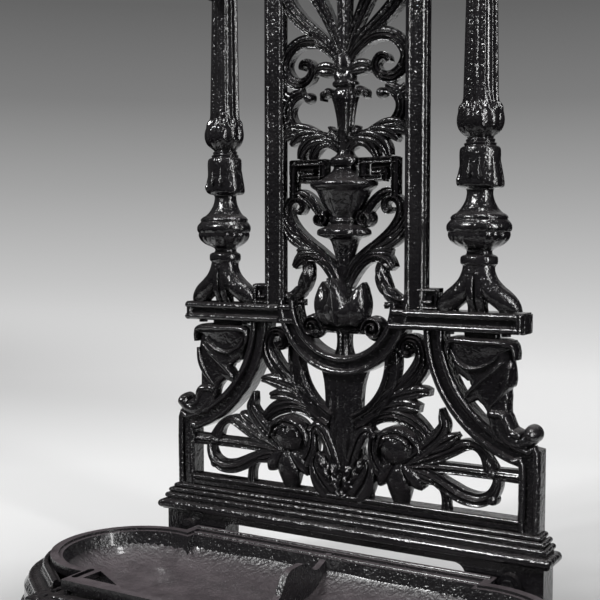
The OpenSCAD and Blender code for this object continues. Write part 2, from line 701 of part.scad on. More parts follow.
module hex_nut(across, height, bore) difference() {
    cylinder(h = height, r = across / sqrt(3), $fn = 6);
    translate([0, 0, -1]) cylinder(h = height + 2, r = bore);
}

module rail_nuts() color(dull_iron) upright() both() translate([column_x, rail_y, column_back - 6])
    hex_nut(14, 6, spigot_radius + shank_clearance);

// ---- drip pan ----

step_depth = 3;
step_width = 4;
flat_rim = rim_width - step_width;
wall_lean = 10;
cavity_rear = pan_rear - 28;

// The pan's outline, grown by g: a square middle between two round ends.
module pan_outline(g) {
    translate([-pan_half - g, -pan_front - g]) square([2 * (pan_half + g), pan_front + pan_rear + 2 * g]);
    both() translate([end_x, 0]) circle(end_radius + g, $fn = 128);
}

// A tapering form with the pan's outline: g grows it, and it runs from height z0 up to z1.
module basin(g, z0, z1) {
    lean = wall_lean * (z1 - z0) / pan_depth;
    both() translate([end_x, 0, z0]) cylinder(h = z1 - z0, r1 = end_radius - rim_width - lean + g,
        r2 = end_radius - rim_width + g, $fn = 128);
    intersection() {
        rotate([90, 0, 0]) linear_extrude(2 * pan_front + 60, center = true) polygon([
            [-pan_half + rim_width - g, z1], [-pan_half + rim_width + lean - g, z0],
            [pan_half - rim_width - lean + g, z0], [pan_half - rim_width + g, z1]]);
        rotate([90, 0, 90]) linear_extrude(2 * pan_half + 60, center = true) polygon([
            [-pan_front + rim_width - g, z1], [-pan_front + rim_width + lean - g, z0],
            [cavity_rear - lean + g, z0], [cavity_rear + g, z1]]);
    }
}

// The rim's inner step, a little wider than the cavity.
module rim_step() translate([0, 0, rim_z - step_depth]) linear_extrude(step_depth + 1) {
    both() translate([end_x, 0]) circle(end_radius - flat_rim, $fn = 128);
    translate([-pan_half + flat_rim, -pan_front + flat_rim])
        square([2 * (pan_half - flat_rim), pan_front + pan_rear - flat_rim - rim_width]);
}

// The top of the low wall across the middle: height from the rim, and distance back.
divider_top = [
    [-1, pan_rear - 10, 0], [-4, 97, 0], [-11, 73, 0], [-4, 56, 0], [4, 42, 0], [5, 24, 0], [3, 8, 0],
    [-9, -3, 0],
    [-20, -12, 0], [-22, -34, 0], [-22, -90, 0], [-14, 25 - pan_front, 0], [-1, 8 - pan_front, 0]];

module divider() translate([4, 0, 0]) rotate([0, -90, 0]) linear_extrude(8) polygon(concat(
    [[rim_z - rim_edge + 1, rim_width - 3 - pan_front],
        [rim_z - pan_depth - 1, rim_width + wall_lean - 3 - pan_front],
    [rim_z - pan_depth - 1, cavity_rear - wall_lean + 3], [rim_z - rim_edge + 1, cavity_rear + 3],
    [rim_z - rim_edge + 1, pan_rear - 10]],
    [for (p = smooth(divider_top, 4)) [rim_z + p[0], p[1]]]));

// The webs that fill the pan's front corners at rim level, each with a slot and a three-sided opening.
web_edge = pan_half - 80;

module corner_webs() both() translate([0, 0, rim_z - 6]) linear_extrude(6) polygon([
    [pan_half, -pan_front + 6], [pan_half, 49 - pan_front], [pan_half - 24, 55 - pan_front],
    [web_edge, flat_rim - 1 - pan_front], [web_edge, 6 - pan_front]]);

module web_openings() both() translate([0, 0, rim_z - rim_edge - 1]) linear_extrude(rim_edge + 2) {
    polygon([[pan_half - 18, 45 - pan_front], [pan_half - 17, 17 - pan_front],
        [web_edge + 14, 17 - pan_front]]);
    translate([pan_half - 6, 16 - pan_front]) circle(4);
    translate([pan_half - 6, 42 - pan_front]) circle(4);
    translate([pan_half - 10, 16 - pan_front]) square([8, 26]);
}

module drip_pan() color(dull_iron) difference() {
    union() {
        difference() {
            union() {
                translate([0, 0, rim_z - rim_edge]) linear_extrude(rim_edge) pan_outline(0);
                basin(pan_wall, rim_z - pan_depth - pan_wall, rim_z - rim_edge + 1);
                translate([-pan_half + 5, pan_rear - 7, rim_z - 0.5]) rotate([0, 90, 0])
                    cylinder(h = 2 * pan_half - 10, r = 3);
            }
            basin(0, rim_z - pan_depth, rim_z + 0.01);
            rim_step();
        }
        divider();
        corner_webs();
        translate([-pan_half + flat_rim + 2, cavity_rear + 5, rim_z - step_depth - 0.5]) rotate([0, 90, 0])
            cylinder(h = 2 * (pan_half - flat_rim - 2), r = 2.4);
    }
    web_openings();
}

// ---- plinth ----

seat_z = rim_z - rim_edge;
seat_width = 8.5;
leg_face = rear_y - fascia_depth;

foot_profile = [[plinth_reach - 5, 18], [plinth_reach - 4, 14], [plinth_reach, 12], [plinth_reach, 0]];

// Round the ends: a bead beside the rim, a scotia, a second bead and the plain face.
function end_profile(seat_from) = concat(
    [[-seat_from, 0], [-seat_from, seat_z], [pan_clearance, seat_z]],
    round_part(pan_clearance + 4, seat_z, 4, 180, 0, 6),
    round_part(pan_clearance + 19, seat_z - 2, 11, 180, 270, 6),
    round_part(pan_clearance + 22, seat_z - 15, 3.2, 130, -20, 6),
    [[plinth_reach - 5, seat_z - 23]],
    foot_profile);

// Along the square front: an undercut below the pan's rail, a bead, a flat and a rounded edge.
front_profile = concat(
    [[-seat_width, 0], [-seat_width, seat_z], [-4, seat_z], [-4, seat_z - 6], [9, seat_z - 6]],
    round_part(13, seat_z - 6, 3, 180, 0, 6),
    [[21, seat_z - 6]],
    round_part(24.5, seat_z - 8, 3.5, 145, -50, 6),
    [[plinth_reach - 9, seat_z - 13], [plinth_reach - 9, 30]],
    round_part(plinth_reach - 4, 25, 5, 180, 270, 4),
    foot_profile);

tangent = 180 + atan2(4, 3);

module plinth_ends() both() translate([end_x, 0, 0]) mirror([1, 0, 0]) {
    rotate(tangent) mirror([0, 1, 0])
        rotate_extrude(angle = tangent - 84, $fn = 128) translate([end_radius, 0])
        polygon(end_profile(seat_width));
    rotate(tangent) translate([end_radius, 0, 0]) rotate([90, 0, 180]) mirror([1, 0, 0])
        linear_extrude(86) polygon(end_profile(2));
}

module plinth_front() intersection() {
    rotate([90, 0, -90]) linear_extrude(2 * (pan_half + plinth_reach), center = true)
        translate([pan_front, 0]) polygon(front_profile);
    translate([0, -pan_front, 0]) rotate([90, 0, 0])
        linear_extrude(2 * plinth_reach + 40, center = true) both() {
        square([pan_half, seat_z]);
        translate([pan_half, 0]) polygon(front_profile);
    }
}

module plinth_sides() both() intersection() {
    rotate([90, 0, 0]) translate([pan_half, 0])
        linear_extrude(pan_front + plinth_reach) polygon(front_profile);
    translate([0, -2 * pan_front, -1]) cube([2 * end_x, 2 * pan_front - 70, panel_z]);
    rotate([90, 0, -90]) linear_extrude(4 * end_x, center = true) {
        translate([pan_front, 0]) polygon(front_profile);
        square([pan_front, seat_z]);
    }
}

rear_wall = 10;

module plinth_rear() {
    translate([-leg_half + 8, leg_face - rear_wall, 0]) cube([2 * leg_half - 16, rear_wall, seat_z - 6]);
    translate([-pan_half - 10, 60, 0]) cube([2 * pan_half + 20, leg_face - 60, seat_z]);
    both() translate([base_bolts_at[0][0], leg_face, panel_z + base_bolts_at[0][1]]) rotate([90, 0, 0]) {
        cylinder(h = rear_wall, r = 13);
        translate([-13, -20, 0]) cube([26, 20, rear_wall]);
    }
}

// Room for the bolts' heads, cut into the rear of the plinth from below and beside the lugs.
module head_room() {
    both() for (p = base_bolts_at) translate([p[0], leg_face - rear_wall, panel_z + p[1]]) rotate([90, 0, 0])
        cylinder(h = 9, r = 10);
    both() translate([base_bolts_at[1][0] - 10, leg_face - rear_wall - 9, -1])
        cube([20, 9, panel_z + base_bolts_at[1][1] + 1]);
}

module base_plinth() color(iron) difference() {
    union() {
        difference() {
            plinth_ends();
            translate([-pan_half - 19, -3 * pan_front, -1])
                cube([2 * pan_half + 38, 3 * pan_front - 60, panel_z]);
        }
        plinth_front();
        plinth_sides();
        plinth_rear();
    }
    translate([-pan_half + seat_width, -pan_front + seat_width, -1])
        cube([2 * (pan_half - seat_width), pan_front + cavity_rear + pan_wall + 3 - seat_width, panel_z]);
    both() translate([end_x, 0, -1]) cylinder(h = panel_z, r = end_radius - seat_width, $fn = 128);
    translate([0, 0, seat_z]) linear_extrude(rim_edge + 10) pan_outline(pan_clearance);
    translate([-2 * end_x, leg_face, -1]) cube([4 * end_x, pan_front, panel_z]);
    head_room();
    both() for (p = base_bolts_at) translate([p[0], leg_face + 1, panel_z + p[1]]) rotate([90, 0, 0])
        cylinder(h = rear_wall + 2, r = bolt_radius + shank_clearance);
}

// ---- fixings ----

module base_bolts() color(dull_iron) upright() both() for (p = base_bolts_at) translate([p[0], p[1], 0]) {
    translate([0, 0, -8]) cylinder(h = fascia_depth + rear_wall + 8, r = bolt_radius);
    translate([0, 0, fascia_depth + rear_wall]) cylinder(h = 5, r = 7.5, $fn = 6);
}

module base_nuts() color(dull_iron) upright() both() for (p = base_bolts_at)
    translate([p[0], p[1], -7]) hex_nut(13, 7, bolt_radius + shank_clearance);

module column_screws() color(dull_iron) upright() both() for (s = [-1, 1])
    translate([column_x + s * screw_x, ledge_z - 3, screw_h]) rotate([-90, 0, 0]) {
        cylinder(h = 3, r = 5.5);
        cylinder(h = ledge_height + 3 + 10, r = screw_radius);
    }

module finial_studs() color(dull_iron) upright() both()
    translate([column_x, shelf_y - stud_depth, stud_h]) rotate([-90, 0, 0])
        cylinder(h = shelf_height + 2 * stud_depth, r = stud_radius);

module crest_stud() color(dull_iron) upright() translate([0, crest_y - stud_depth - 2, crest_stud_h])
    rotate([-90, 0, 0]) cylinder(h = 2 * stud_depth + 2, r = stud_radius);

base_plinth();
drip_pan();
lower_frame();
lower_scrollwork();
left_bracket_leg();
right_bracket_leg();
left_column();
right_column();
centre_frame();
urn_ornament();
palmette_ornament();
left_top_shelf();
right_top_shelf();
left_finial();
right_finial();
arch_crest();
stick_rail();
left_rail_bracket();
right_rail_bracket();
rail_nuts();
base_bolts();
base_nuts();
column_screws();
finial_studs();
crest_stud();
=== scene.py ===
"""Dresses the cast-iron umbrella stand: carved relief, turned columns, enamel finishes, studio light and camera.

Lengths are millimetres, but metres in the finishes, the studio, CAD_BOX and names that end in _M. The carving is
drawn on the back's own plane: x to the right, y up from the lower panel's foot, and h forward from the rear face.
"""

import math

import bpy
import numpy as np
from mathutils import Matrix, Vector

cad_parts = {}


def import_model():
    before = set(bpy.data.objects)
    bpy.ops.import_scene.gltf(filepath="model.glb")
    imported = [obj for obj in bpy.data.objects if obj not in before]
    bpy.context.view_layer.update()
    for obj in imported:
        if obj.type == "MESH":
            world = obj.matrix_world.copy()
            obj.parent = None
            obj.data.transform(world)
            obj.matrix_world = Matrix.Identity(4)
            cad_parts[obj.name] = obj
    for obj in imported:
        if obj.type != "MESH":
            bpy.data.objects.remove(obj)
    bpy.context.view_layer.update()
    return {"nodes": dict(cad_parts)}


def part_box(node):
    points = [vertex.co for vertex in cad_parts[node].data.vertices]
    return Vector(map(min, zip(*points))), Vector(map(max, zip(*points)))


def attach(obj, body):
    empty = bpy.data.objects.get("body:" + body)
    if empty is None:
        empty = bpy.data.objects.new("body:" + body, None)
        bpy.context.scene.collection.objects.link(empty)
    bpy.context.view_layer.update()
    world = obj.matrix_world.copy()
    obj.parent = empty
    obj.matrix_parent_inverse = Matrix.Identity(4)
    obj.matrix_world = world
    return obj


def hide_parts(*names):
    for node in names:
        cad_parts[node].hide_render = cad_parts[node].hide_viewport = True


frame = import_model()

bl_info = {
    "name": "Cast-Iron Umbrella Stand",
    "version": (1, 0, 0),
    "blender": (4, 5, 0),
    "location": "View3D > Sidebar > Umbrella Stand",
    "description": "Carving, turned columns, enamel and studio for a cast-iron umbrella stand",
    "category": "Object",
}

MM = 0.001
LEDGE_TOP = 247.0
REAR_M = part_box("lower_frame")[1].y
FOOT_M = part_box("centre_frame")[0].z - LEDGE_TOP * MM
COLUMN_X = sum(corner.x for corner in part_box("right_column")) / 2 / MM
SIDES = (("left", -1), ("right", 1))
# The relief starts at LOW, forward of the rear face. A bead reaches BEAD to each side. The panel's band is BAND wide.
LOW, BEAD, BAND = 8.0, 4.4, 25.0
# Half widths over the posts and the ledge, the ledge's height, both arcs' centres and radii, and the fret blocks.
POST_X, LEDGE_X, LEDGE_HIGH = 250.0, 231.0, 24.0
SHOULDER_X, SHOULDER_Y, SHOULDER_R = 268.5, 228.0, 135.3
LOOP_R, LOOP_Y = 66.0, 253.0
BLOCK_X, BLOCK, SHELF_Y = 102.5, 25.0, LEDGE_TOP + 504.0


# ---- numbers and curves ----


def spline(points, steps):
    """A Catmull-Rom curve through the rows of points: each span blends its two ends with its two neighbours."""
    p = np.asarray(points, float)
    i = np.arange(len(p) - 1)
    a, b, c, d = p[np.maximum(i - 1, 0)], p[i], p[i + 1], p[np.minimum(i + 2, len(p) - 1)]
    t = (np.arange(steps) / steps)[None, :, None]
    a, b, c, d = (q[:, None, :] for q in (a, b, c, d))
    rows = 0.5 * (2 * b + (c - a) * t + (2 * a - 5 * b + 4 * c - d) * t**2 + (3 * b - a - 3 * c + d) * t**3)
    return np.vstack([rows.reshape(-1, p.shape[1]), p[-1:]])


def hump(value, middle, reach, power=2):
    """A smooth rise to 1 at the middle, which falls away past its reach, the more steeply the higher the power."""
    return np.exp(-(((value - middle) / reach) ** power))


def world(x, y, h):
    """Drawing coordinates to metres in the frame: x stays, y goes up, and h comes forward from the rear face."""
    x, y, h = np.broadcast_arrays(x, y, h)
    return np.stack([x * MM, REAR_M - h * MM, FOOT_M + y * MM], axis=-1)


class Shell:
    """Closed surfaces gathered into one mesh: points, four-sided faces and three-sided faces as whole arrays."""

    STEP_M, TURNS = 0.1 * MM, 13
    SHARP, MIRROR = math.radians(48.0), np.array([-1.0, 1.0, 1.0])

    def __init__(self):
        self.points, self.quads, self.tris, self.count = [], [], [], 0

    def add(self, points, quads, tris):
        """Adds one closed surface, turned so that its signed volume is positive and its faces point outwards. Each
        comes a small step further forward than the last, in turns, so that no two share a plane."""
        points = points - np.array([0.0, self.STEP_M * (len(self.points) % self.TURNS), 0.0])
        a, b, c = (points[np.concatenate([tris[:, k], quads[:, k], quads[:, j]])] for k, j in ((0, 0), (1, 2), (2, 3)))
        if np.einsum("ij,ij->", a, np.cross(b, c)) < 0:
            quads, tris = quads[:, ::-1], tris[:, ::-1]
        self.points.append(points)
        self.quads.append(quads + self.count)
        self.tris.append(tris + self.count)
        self.count += len(points)

    def rings(self, rings):
        """A tube from an array of rings (n, m, 3), each closed on itself, with a fan of triangles on both ends."""
        n, m = rings.shape[:2]
        i, j = np.meshgrid(np.arange(n - 1), np.arange(m), indexing="ij")
        k = (j + 1) % m
        quads = np.stack([i * m + j, i * m + k, (i + 1) * m + k, (i + 1) * m + j], axis=-1).reshape(-1, 4)
        ends = np.stack([rings[0].mean(0), rings[-1].mean(0)])
        j, k = j[0], k[0]
        first = np.stack([k, j, np.full(m, n * m)], axis=-1)
        last = np.stack([(n - 1) * m + j, (n - 1) * m + k, np.full(m, n * m + 1)], axis=-1)
        self.add(np.vstack([rings.reshape(-1, 3), ends]), quads, np.vstack([first, last]))

    def both(self, rings):
        """The same tube and its mirror image across the middle."""
        self.rings(rings)
        self.rings(rings * self.MIRROR)

    def flip(self):
        """Turns all that the shell holds into its mirror image."""
        self.points = [points * self.MIRROR for points in self.points]
        self.quads, self.tris = [quads[:, ::-1] for quads in self.quads], [tris[:, ::-1] for tris in self.tris]

    def build(self, name, key):
        """Makes the mesh object in one of the stand's materials, smooth except at edges over the sharp angle."""
        points = np.vstack(self.points)
        quads, tris = np.vstack(self.quads), np.vstack(self.tris)
        mesh = bpy.data.meshes.new(name)
        mesh.vertices.add(len(points))
        mesh.vertices.foreach_set("co", points.astype(np.float32).ravel())
        loops = np.concatenate([quads.ravel(), tris.ravel()])
        totals = np.concatenate([np.full(len(quads), 4), np.full(len(tris), 3)])
        mesh.loops.add(len(loops))
        mesh.loops.foreach_set("vertex_index", loops.astype(np.int32))
        mesh.polygons.add(len(totals))
        mesh.polygons.foreach_set("loop_start", (np.cumsum(totals) - totals).astype(np.int32))
        mesh.update(calc_edges=True)
        mesh.validate()
        mesh.polygons.foreach_set("use_smooth", np.ones(len(mesh.polygons), bool))
        mesh.set_sharp_from_angle(angle=self.SHARP)
        mesh.materials.append(finish_of(key))
        obj = bpy.data.objects.new(name, mesh)
        bpy.context.scene.collection.objects.link(obj)
        return obj


# ---- relief sections: sideways reach and height, for t along the stroke (0 to 1) and u across it (-1 to 1) ----


def rounded(t, u):
    """A plain round back: an ellipse, as high at the middle as the stroke's height."""
    return 1.0, np.sqrt(1 - 0.96 * u**2)


def folded(t, u):
    """A leaf finger: two rounded halves that meet in a groove along the middle."""
    halves = np.sqrt(1 - (2 * np.abs(u) - 1) ** 2 * 0.9)
    return 1.0, 0.45 + 0.55 * halves * (1 - 0.25 * np.abs(u))


def padded(t, u):
    """A broad smooth body: nearly flat across, with its edges rounded over."""
    return 1.0, (1 - 0.97 * np.abs(u) ** 5) ** 0.5 * (1 - 0.12 * u**2)


def lobed(count, depth=0.3):
    """An acanthus leaf: count lobes scallop each edge, and a groove slants in from each notch to the midrib."""
    first, slant = 0.35, 0.16

    def form(t, u):
        edge = np.abs(np.sin(np.pi * (count * t + first))) ** 0.55
        swell = np.abs(np.sin(np.pi * (count * (t + slant * (1 - np.abs(u))) + first))) ** 0.6
        back = np.sqrt(1 - 0.85 * u**2)
        return 1 - depth * (1 - edge), back * (0.5 + 0.42 * swell) + 0.2 * hump(u, 0, 0.13)

    return form


def twin_bead(t, u):
    """Two rounded beads along the edges of a hollow band."""
    return 1.0, 0.42 + 0.58 * hump(np.abs(u), 0.72, 0.2)


def ridged(count, depth=0.45):
    """A leaf of count fine ridges, their crests sharper than the hollows between, on a rounded back."""

    def form(t, u):
        ridge = 1 - np.abs(np.sin(np.pi * count * (u + 1) / 2)) ** 1.4
        fade = np.sin(np.pi * np.clip(t, 0.02, 0.98)) ** 0.25
        return 1.0, np.sqrt(1 - 0.55 * u**2) * (1 - depth + depth * (ridge * fade + 1 - fade))

    return form


def ruffled(count, depth=0.28):
    """A crinkled edge: waves run across the stroke and grow from its inner side to its outer."""

    def form(t, u):
        wave = np.sin(np.pi * count * t + 0.6 * np.sin(2 * np.pi * t))
        reach = 1 + depth * 0.4 * wave * (u > 0)
        return reach, np.sqrt(1 - 0.8 * u**2) * (1 + depth * wave * (0.4 + 0.6 * u))

    return form


# ---- strokes and turned shapes ----


def stroke(points, form, across, low, steps=8, edge=0.35):
    """Rings of a relief stroke. Rows of points are x, y, half width and height above low. Each ring goes across the
    front by the form, from a side wall that is a share (edge) of the height, and returns flat along the rear."""
    rows = spline(points, steps)
    x, y, half, high = (rows[:, k : k + 1] for k in range(4))
    along = np.gradient(rows[:, :2], axis=0)
    along /= np.linalg.norm(along, axis=1, keepdims=True) + 1e-9
    t = np.linspace(0, 1, len(rows))[:, None]
    u = np.linspace(-1, 1, across)[None, :]
    reach, height, _ = np.broadcast_arrays(*form(t, u), t * u)
    thinnest, lowest = 0.3, 0.6
    half, high = np.maximum(half, thinnest), np.maximum(high, lowest)
    side = u * half * reach
    front = world(x - along[:, 1:] * side, y + along[:, :1] * side, low + high * (edge + (1 - edge) * height))
    turn = np.array([[1.0, -1.0]]) * half * reach[:, [-1, 0]]
    rear = world(x - along[:, 1:] * turn, y + along[:, :1] * turn, low)
    return np.concatenate([front, rear], axis=1)


def dome(x, y, radius, rise, ring=36, rows=9):
    """Rings of a boss: circles that shrink by a cosine, nearly to nothing, as they rise by a sine over a foot."""
    closed, foot = 0.97, 2
    a = np.linspace(0, 2 * np.pi, ring, endpoint=False)[None, :]
    s = np.linspace(0, 1, rows)[:, None]
    r = radius * np.cos(s * np.pi / 2 * closed)
    top = world(x + r * np.cos(a), y + r * np.sin(a), LOW + foot + rise * np.sin(s * np.pi / 2))
    return np.concatenate([world(x + r[:1] * np.cos(a), y + r[:1] * np.sin(a), LOW), top])


def turned(profile, wave, x, y, low, steps, around, flat=0.0):
    """Rings of a half-round turned piece. Rows of profile are radius and height; wave(v, angle) scales the radius,
    where v is the height in millimetres, and flat pushes the rear face back."""
    rows = spline(profile, steps)
    a = np.linspace(0, np.pi, around)[None, :]
    r, v = rows[:, :1], rows[:, 1:2]
    scale = wave(v, a)
    front = world(x + r * scale * np.cos(a), y + v, low + r * scale * np.sin(a))
    rear = world(x + r * np.array([[-1.0, 1.0]]) * 0.97, y + v, low - flat)
    return np.concatenate([front, rear], axis=1)


def spiral(cx, cy, r0, r1, start, turn, half, high):
    """Stroke points that wind from radius r0 to r1 through turn degrees and narrow to two fifths of half."""
    s = np.linspace(0, 1, 22)
    a = np.radians(start + turn * s)
    r = r0 + (r1 - r0) * s
    return np.column_stack([cx + r * np.cos(a), cy + r * np.sin(a), half * (1 - 0.6 * s), high * (1 + 0.15 * s)])


def carve(shell, form, across, *strokes, low=LOW, mirrored=True, **sizes):
    """Adds relief strokes to a shell, each with its mirror image unless it stands alone."""
    for points in strokes:
        (shell.both if mirrored else shell.rings)(stroke(points, form, across, low, **sizes))


# ---- materials ----


class Socket:
    """A node socket in Python expressions: arithmetic on values adds Math nodes."""

    def __init__(self, shader, socket):
        self.shader, self.socket = shader, socket

    def _math(self, operation, *values):
        return self.shader.node("ShaderNodeMath", {"operation": operation}, dict(enumerate(values)))

    def __add__(self, other):
        return self._math("ADD", self, other)

    def __mul__(self, other):
        return self._math("MULTIPLY", self, other)

    def __sub__(self, other):
        return self._math("SUBTRACT", self, other)

    def __rsub__(self, other):
        return self._math("SUBTRACT", other, self)

    def __pow__(self, other):
        return self._math("POWER", self, other)

    __radd__ = __add__

    def between(self, low, high):
        """This value's way from low to high, as 0 to 1."""
        kind, settings = "ShaderNodeMapRange", {"interpolation_type": "SMOOTHSTEP"}
        return self.shader.node(kind, settings, {0: self, 1: low, 2: high, 3: 0.0, 4: 1.0})


class Shader:
    """A material's node tree, made by one method that takes a node's type, settings and inputs."""

    def __init__(self, name):
        self.material = bpy.data.materials.new(name)
        self.material.use_nodes = True
        self.tree = self.material.node_tree
        self.tree.nodes.clear()
        self.place = self.node("ShaderNodeTexCoord", {}, {}, "Object")

    def node(self, kind, settings, inputs, output=0):
        """Adds a node and returns one of its outputs. Inputs are numbers or sockets; stops are a grey ramp's."""
        made = self.tree.nodes.new(kind)
        for key, value in settings.items():
            if key == "stops":
                while len(made.color_ramp.elements) < len(value):
                    made.color_ramp.elements.new(0.5)
                for element, (position, grey) in zip(made.color_ramp.elements, value):
                    element.position, element.color = position, (grey, grey, grey, 1.0)
            else:
                setattr(made, key, value)
        for key, value in inputs.items():
            if isinstance(value, Socket):
                self.tree.links.new(value.socket, made.inputs[key])
            else:
                made.inputs[key].default_value = value
        return Socket(self, made.outputs[output])

    def noise(self, scale, detail, roughness=0.55):
        inputs = {"Vector": self.place, "Scale": scale, "Detail": detail, "Roughness": roughness}
        return self.node("ShaderNodeTexNoise", {}, inputs)

    def cells(self, scale):
        """Distance to a cell's middle."""
        return self.node("ShaderNodeTexVoronoi", {}, {"Vector": self.place, "Scale": scale}, "Distance")

    def blend(self, factor, first, second):
        """Two colours mixed by a factor."""
        inputs = {0: factor, 6: first, 7: second}
        return self.node("ShaderNodeMix", {"data_type": "RGBA"}, inputs, 2)

    def bump(self, height, distance, strength, normal=None):
        inputs = {"Height": height, "Distance": distance, "Strength": strength}
        return self.node("ShaderNodeBump", {}, {**inputs, "Normal": normal} if normal else inputs)

    def finish(self, inputs):
        """A painted surface from constant and varying inputs."""
        return self.output(self.node("ShaderNodeBsdfPrincipled", {}, inputs))

    def output(self, surface):
        """Links the surface and returns the material."""
        out = self.tree.nodes.new("ShaderNodeOutputMaterial")
        self.tree.links.new(surface.socket, out.inputs["Surface"])
        return self.material


def rgb(colour):
    """A colour as the four numbers of a colour socket."""
    return (*colour, 1.0)


def cast_enamel(name, look, roughness, pits, dust, dust_colour):
    """Gloss enamel over sand-cast iron. The casting's skin is noise and cells at five scales: broad waves, lumps, a
    pebbled skin, pits and a fine grain. Roughness wanders with the waves, and dust settles on faces that look up."""
    s = Shader(name)
    waves = s.noise(55.0, 2.0)
    lumps = s.noise(150.0, 1.0)
    pebble = s.noise(290.0, 2.0, 0.5)
    pitted = s.cells(330.0).between(0.05, 0.55)
    fine = s.noise(1500.0, 2.0)
    skins = (lumps, 0.0012, 1.0), (pebble, 0.0008, 1.0), (pitted, 0.0002, 0.8), (fine, 0.00002, 1.0)
    normal = s.bump(waves, 0.0015, 0.6)
    for skin, depth, strength in skins:
        normal = s.bump(skin, depth * pits, strength, normal)
    worn = s.noise(14.0, 4.0, 0.65).between(0.42, 0.78)
    colour = s.blend(worn, rgb(look.enamel), rgb(look.worn))
    rough = roughness + (waves - 0.5) * 0.15 + pitted * 0.03 + worn * 0.04
    up = s.node("ShaderNodeSeparateXYZ", {}, {0: s.node("ShaderNodeNewGeometry", {}, {}, "Normal")}, 2)
    settled = up.between(0.55, 0.98) * (s.noise(38.0, 5.0, 0.7).between(0.25, 0.75) * 0.5 + 0.5) * dust
    colour = s.blend(settled, colour, rgb(dust_colour))
    return s.finish({
        "Base Color": colour, "Roughness": rough + settled * 0.34, "Metallic": 0.0, "IOR": 1.55,
        "Coat Weight": 0.35, "Coat Roughness": 0.12, "Normal": normal,
    })


def painted_steel(look):
    """Steel fixings under the same black paint, smoother than the castings."""
    s = Shader("painted_steel")
    brushed = s.noise(700.0, 2.0)
    colour = s.blend(s.noise(30.0, 3.0).between(0.4, 0.8), rgb(look.enamel), rgb(look.worn))
    return s.finish({
        "Base Color": colour, "Roughness": 0.34 + brushed * 0.12, "Metallic": 0.3, "IOR": 1.5,
        "Normal": s.bump(brushed, 0.0001, 0.6),
    })


_made = {}


def finish_of(key):
    """The stand's materials, each made once from the panel's colours."""
    look = bpy.context.scene.stand_finish
    if key not in _made:
        _made[key] = {
            "iron": lambda: cast_enamel(
                "black_enamel", look, look.gloss_roughness, look.casting, 0.25, (0.1, 0.09, 0.09)),
            "pan": lambda: cast_enamel(
                "pan_enamel", look, look.gloss_roughness + 0.08, 1.3 * look.casting, 1.0, look.dust),
            "fixing": lambda: painted_steel(look),
        }[key]()
    return _made[key]


def settle(obj, slot, *nodes, body="stand"):
    """A finished piece rides on its body and stands for its CAD nodes; the slot it is given is not used."""
    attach(obj, body)
    if nodes:
        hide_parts(*nodes)


# ---- properties ----


def colour_property(name, description, default):
    """A colour in the panel."""
    return bpy.props.FloatVectorProperty(
        name=name, description=description, subtype="COLOR", size=3, min=0, max=1, default=default)


class StandFinish(bpy.types.PropertyGroup):
    """Colours and surface of the enamel."""

    enamel: colour_property("Enamel", "Colour of the black enamel", (0.0058, 0.0052, 0.0062))
    worn: colour_property("Worn enamel", "Colour where the enamel has dulled", (0.011, 0.01, 0.0112))
    dust: colour_property("Dust", "Colour of the dust on the pan's floor", (0.064, 0.052, 0.057))
    gloss_roughness: bpy.props.FloatProperty(
        name="Gloss", description="Roughness of the enamel on the castings", default=0.17, min=0.05, max=0.8)
    casting: bpy.props.FloatProperty(
        name="Casting skin", description="Depth of the casting's pebbled skin", default=1.0, min=0.0, max=3.0)


class StandStudio(bpy.types.PropertyGroup):
    """The studio's light and camera."""

    floor: colour_property("Floor", "Colour of the floor", (0.72, 0.72, 0.72))
    key_power: bpy.props.FloatProperty(
        name="Key light", description="Power of the light at the upper left", unit="POWER", default=70.0, min=0)
    fill_power: bpy.props.FloatProperty(
        name="Fill light", description="Power of the light at the right", unit="POWER", default=36.0, min=0)
    eye: bpy.props.FloatVectorProperty(
        name="Camera", description="Place of the camera", subtype="TRANSLATION", unit="LENGTH", size=3,
        default=(0.6054, -0.9763, 0.4512))
    lens: bpy.props.FloatProperty(
        name="Lens", description="Focal length on a 36 mm sensor", default=62.4, min=20, max=200)


# ---- the stand's pieces: each function fills a shell ----


def pan_outline():
    """The cavity's wall round the middle: the farther of the square middle's sides and the round ends."""
    side, rear, front, centre, radius = 194.0, 95.0, 119.0, 216.0, 85.0
    a = np.linspace(-np.pi, np.pi, 480, endpoint=False)
    meet = math.atan2(math.sqrt(radius**2 - (centre - side) ** 2), side)
    turns = np.array([math.atan2(rear, side), math.atan2(-front, side), meet, -meet])
    turns = np.concatenate([turns, np.pi - turns])
    a = np.sort(np.concatenate([a, (turns + np.pi) % (2 * np.pi) - np.pi]))
    across, up = np.abs(np.cos(a)), np.sin(a)
    square = np.minimum(side / across, np.where(up > 0, rear, front) / (np.abs(up) + 1e-9))
    inside = np.clip(radius**2 - (centre * up) ** 2, 0, None)
    ends = np.where(inside > 0, centre * across + np.sqrt(inside), 0)
    reach = np.maximum(square, ends)
    return np.column_stack([reach * np.cos(a), reach * np.sin(a)])


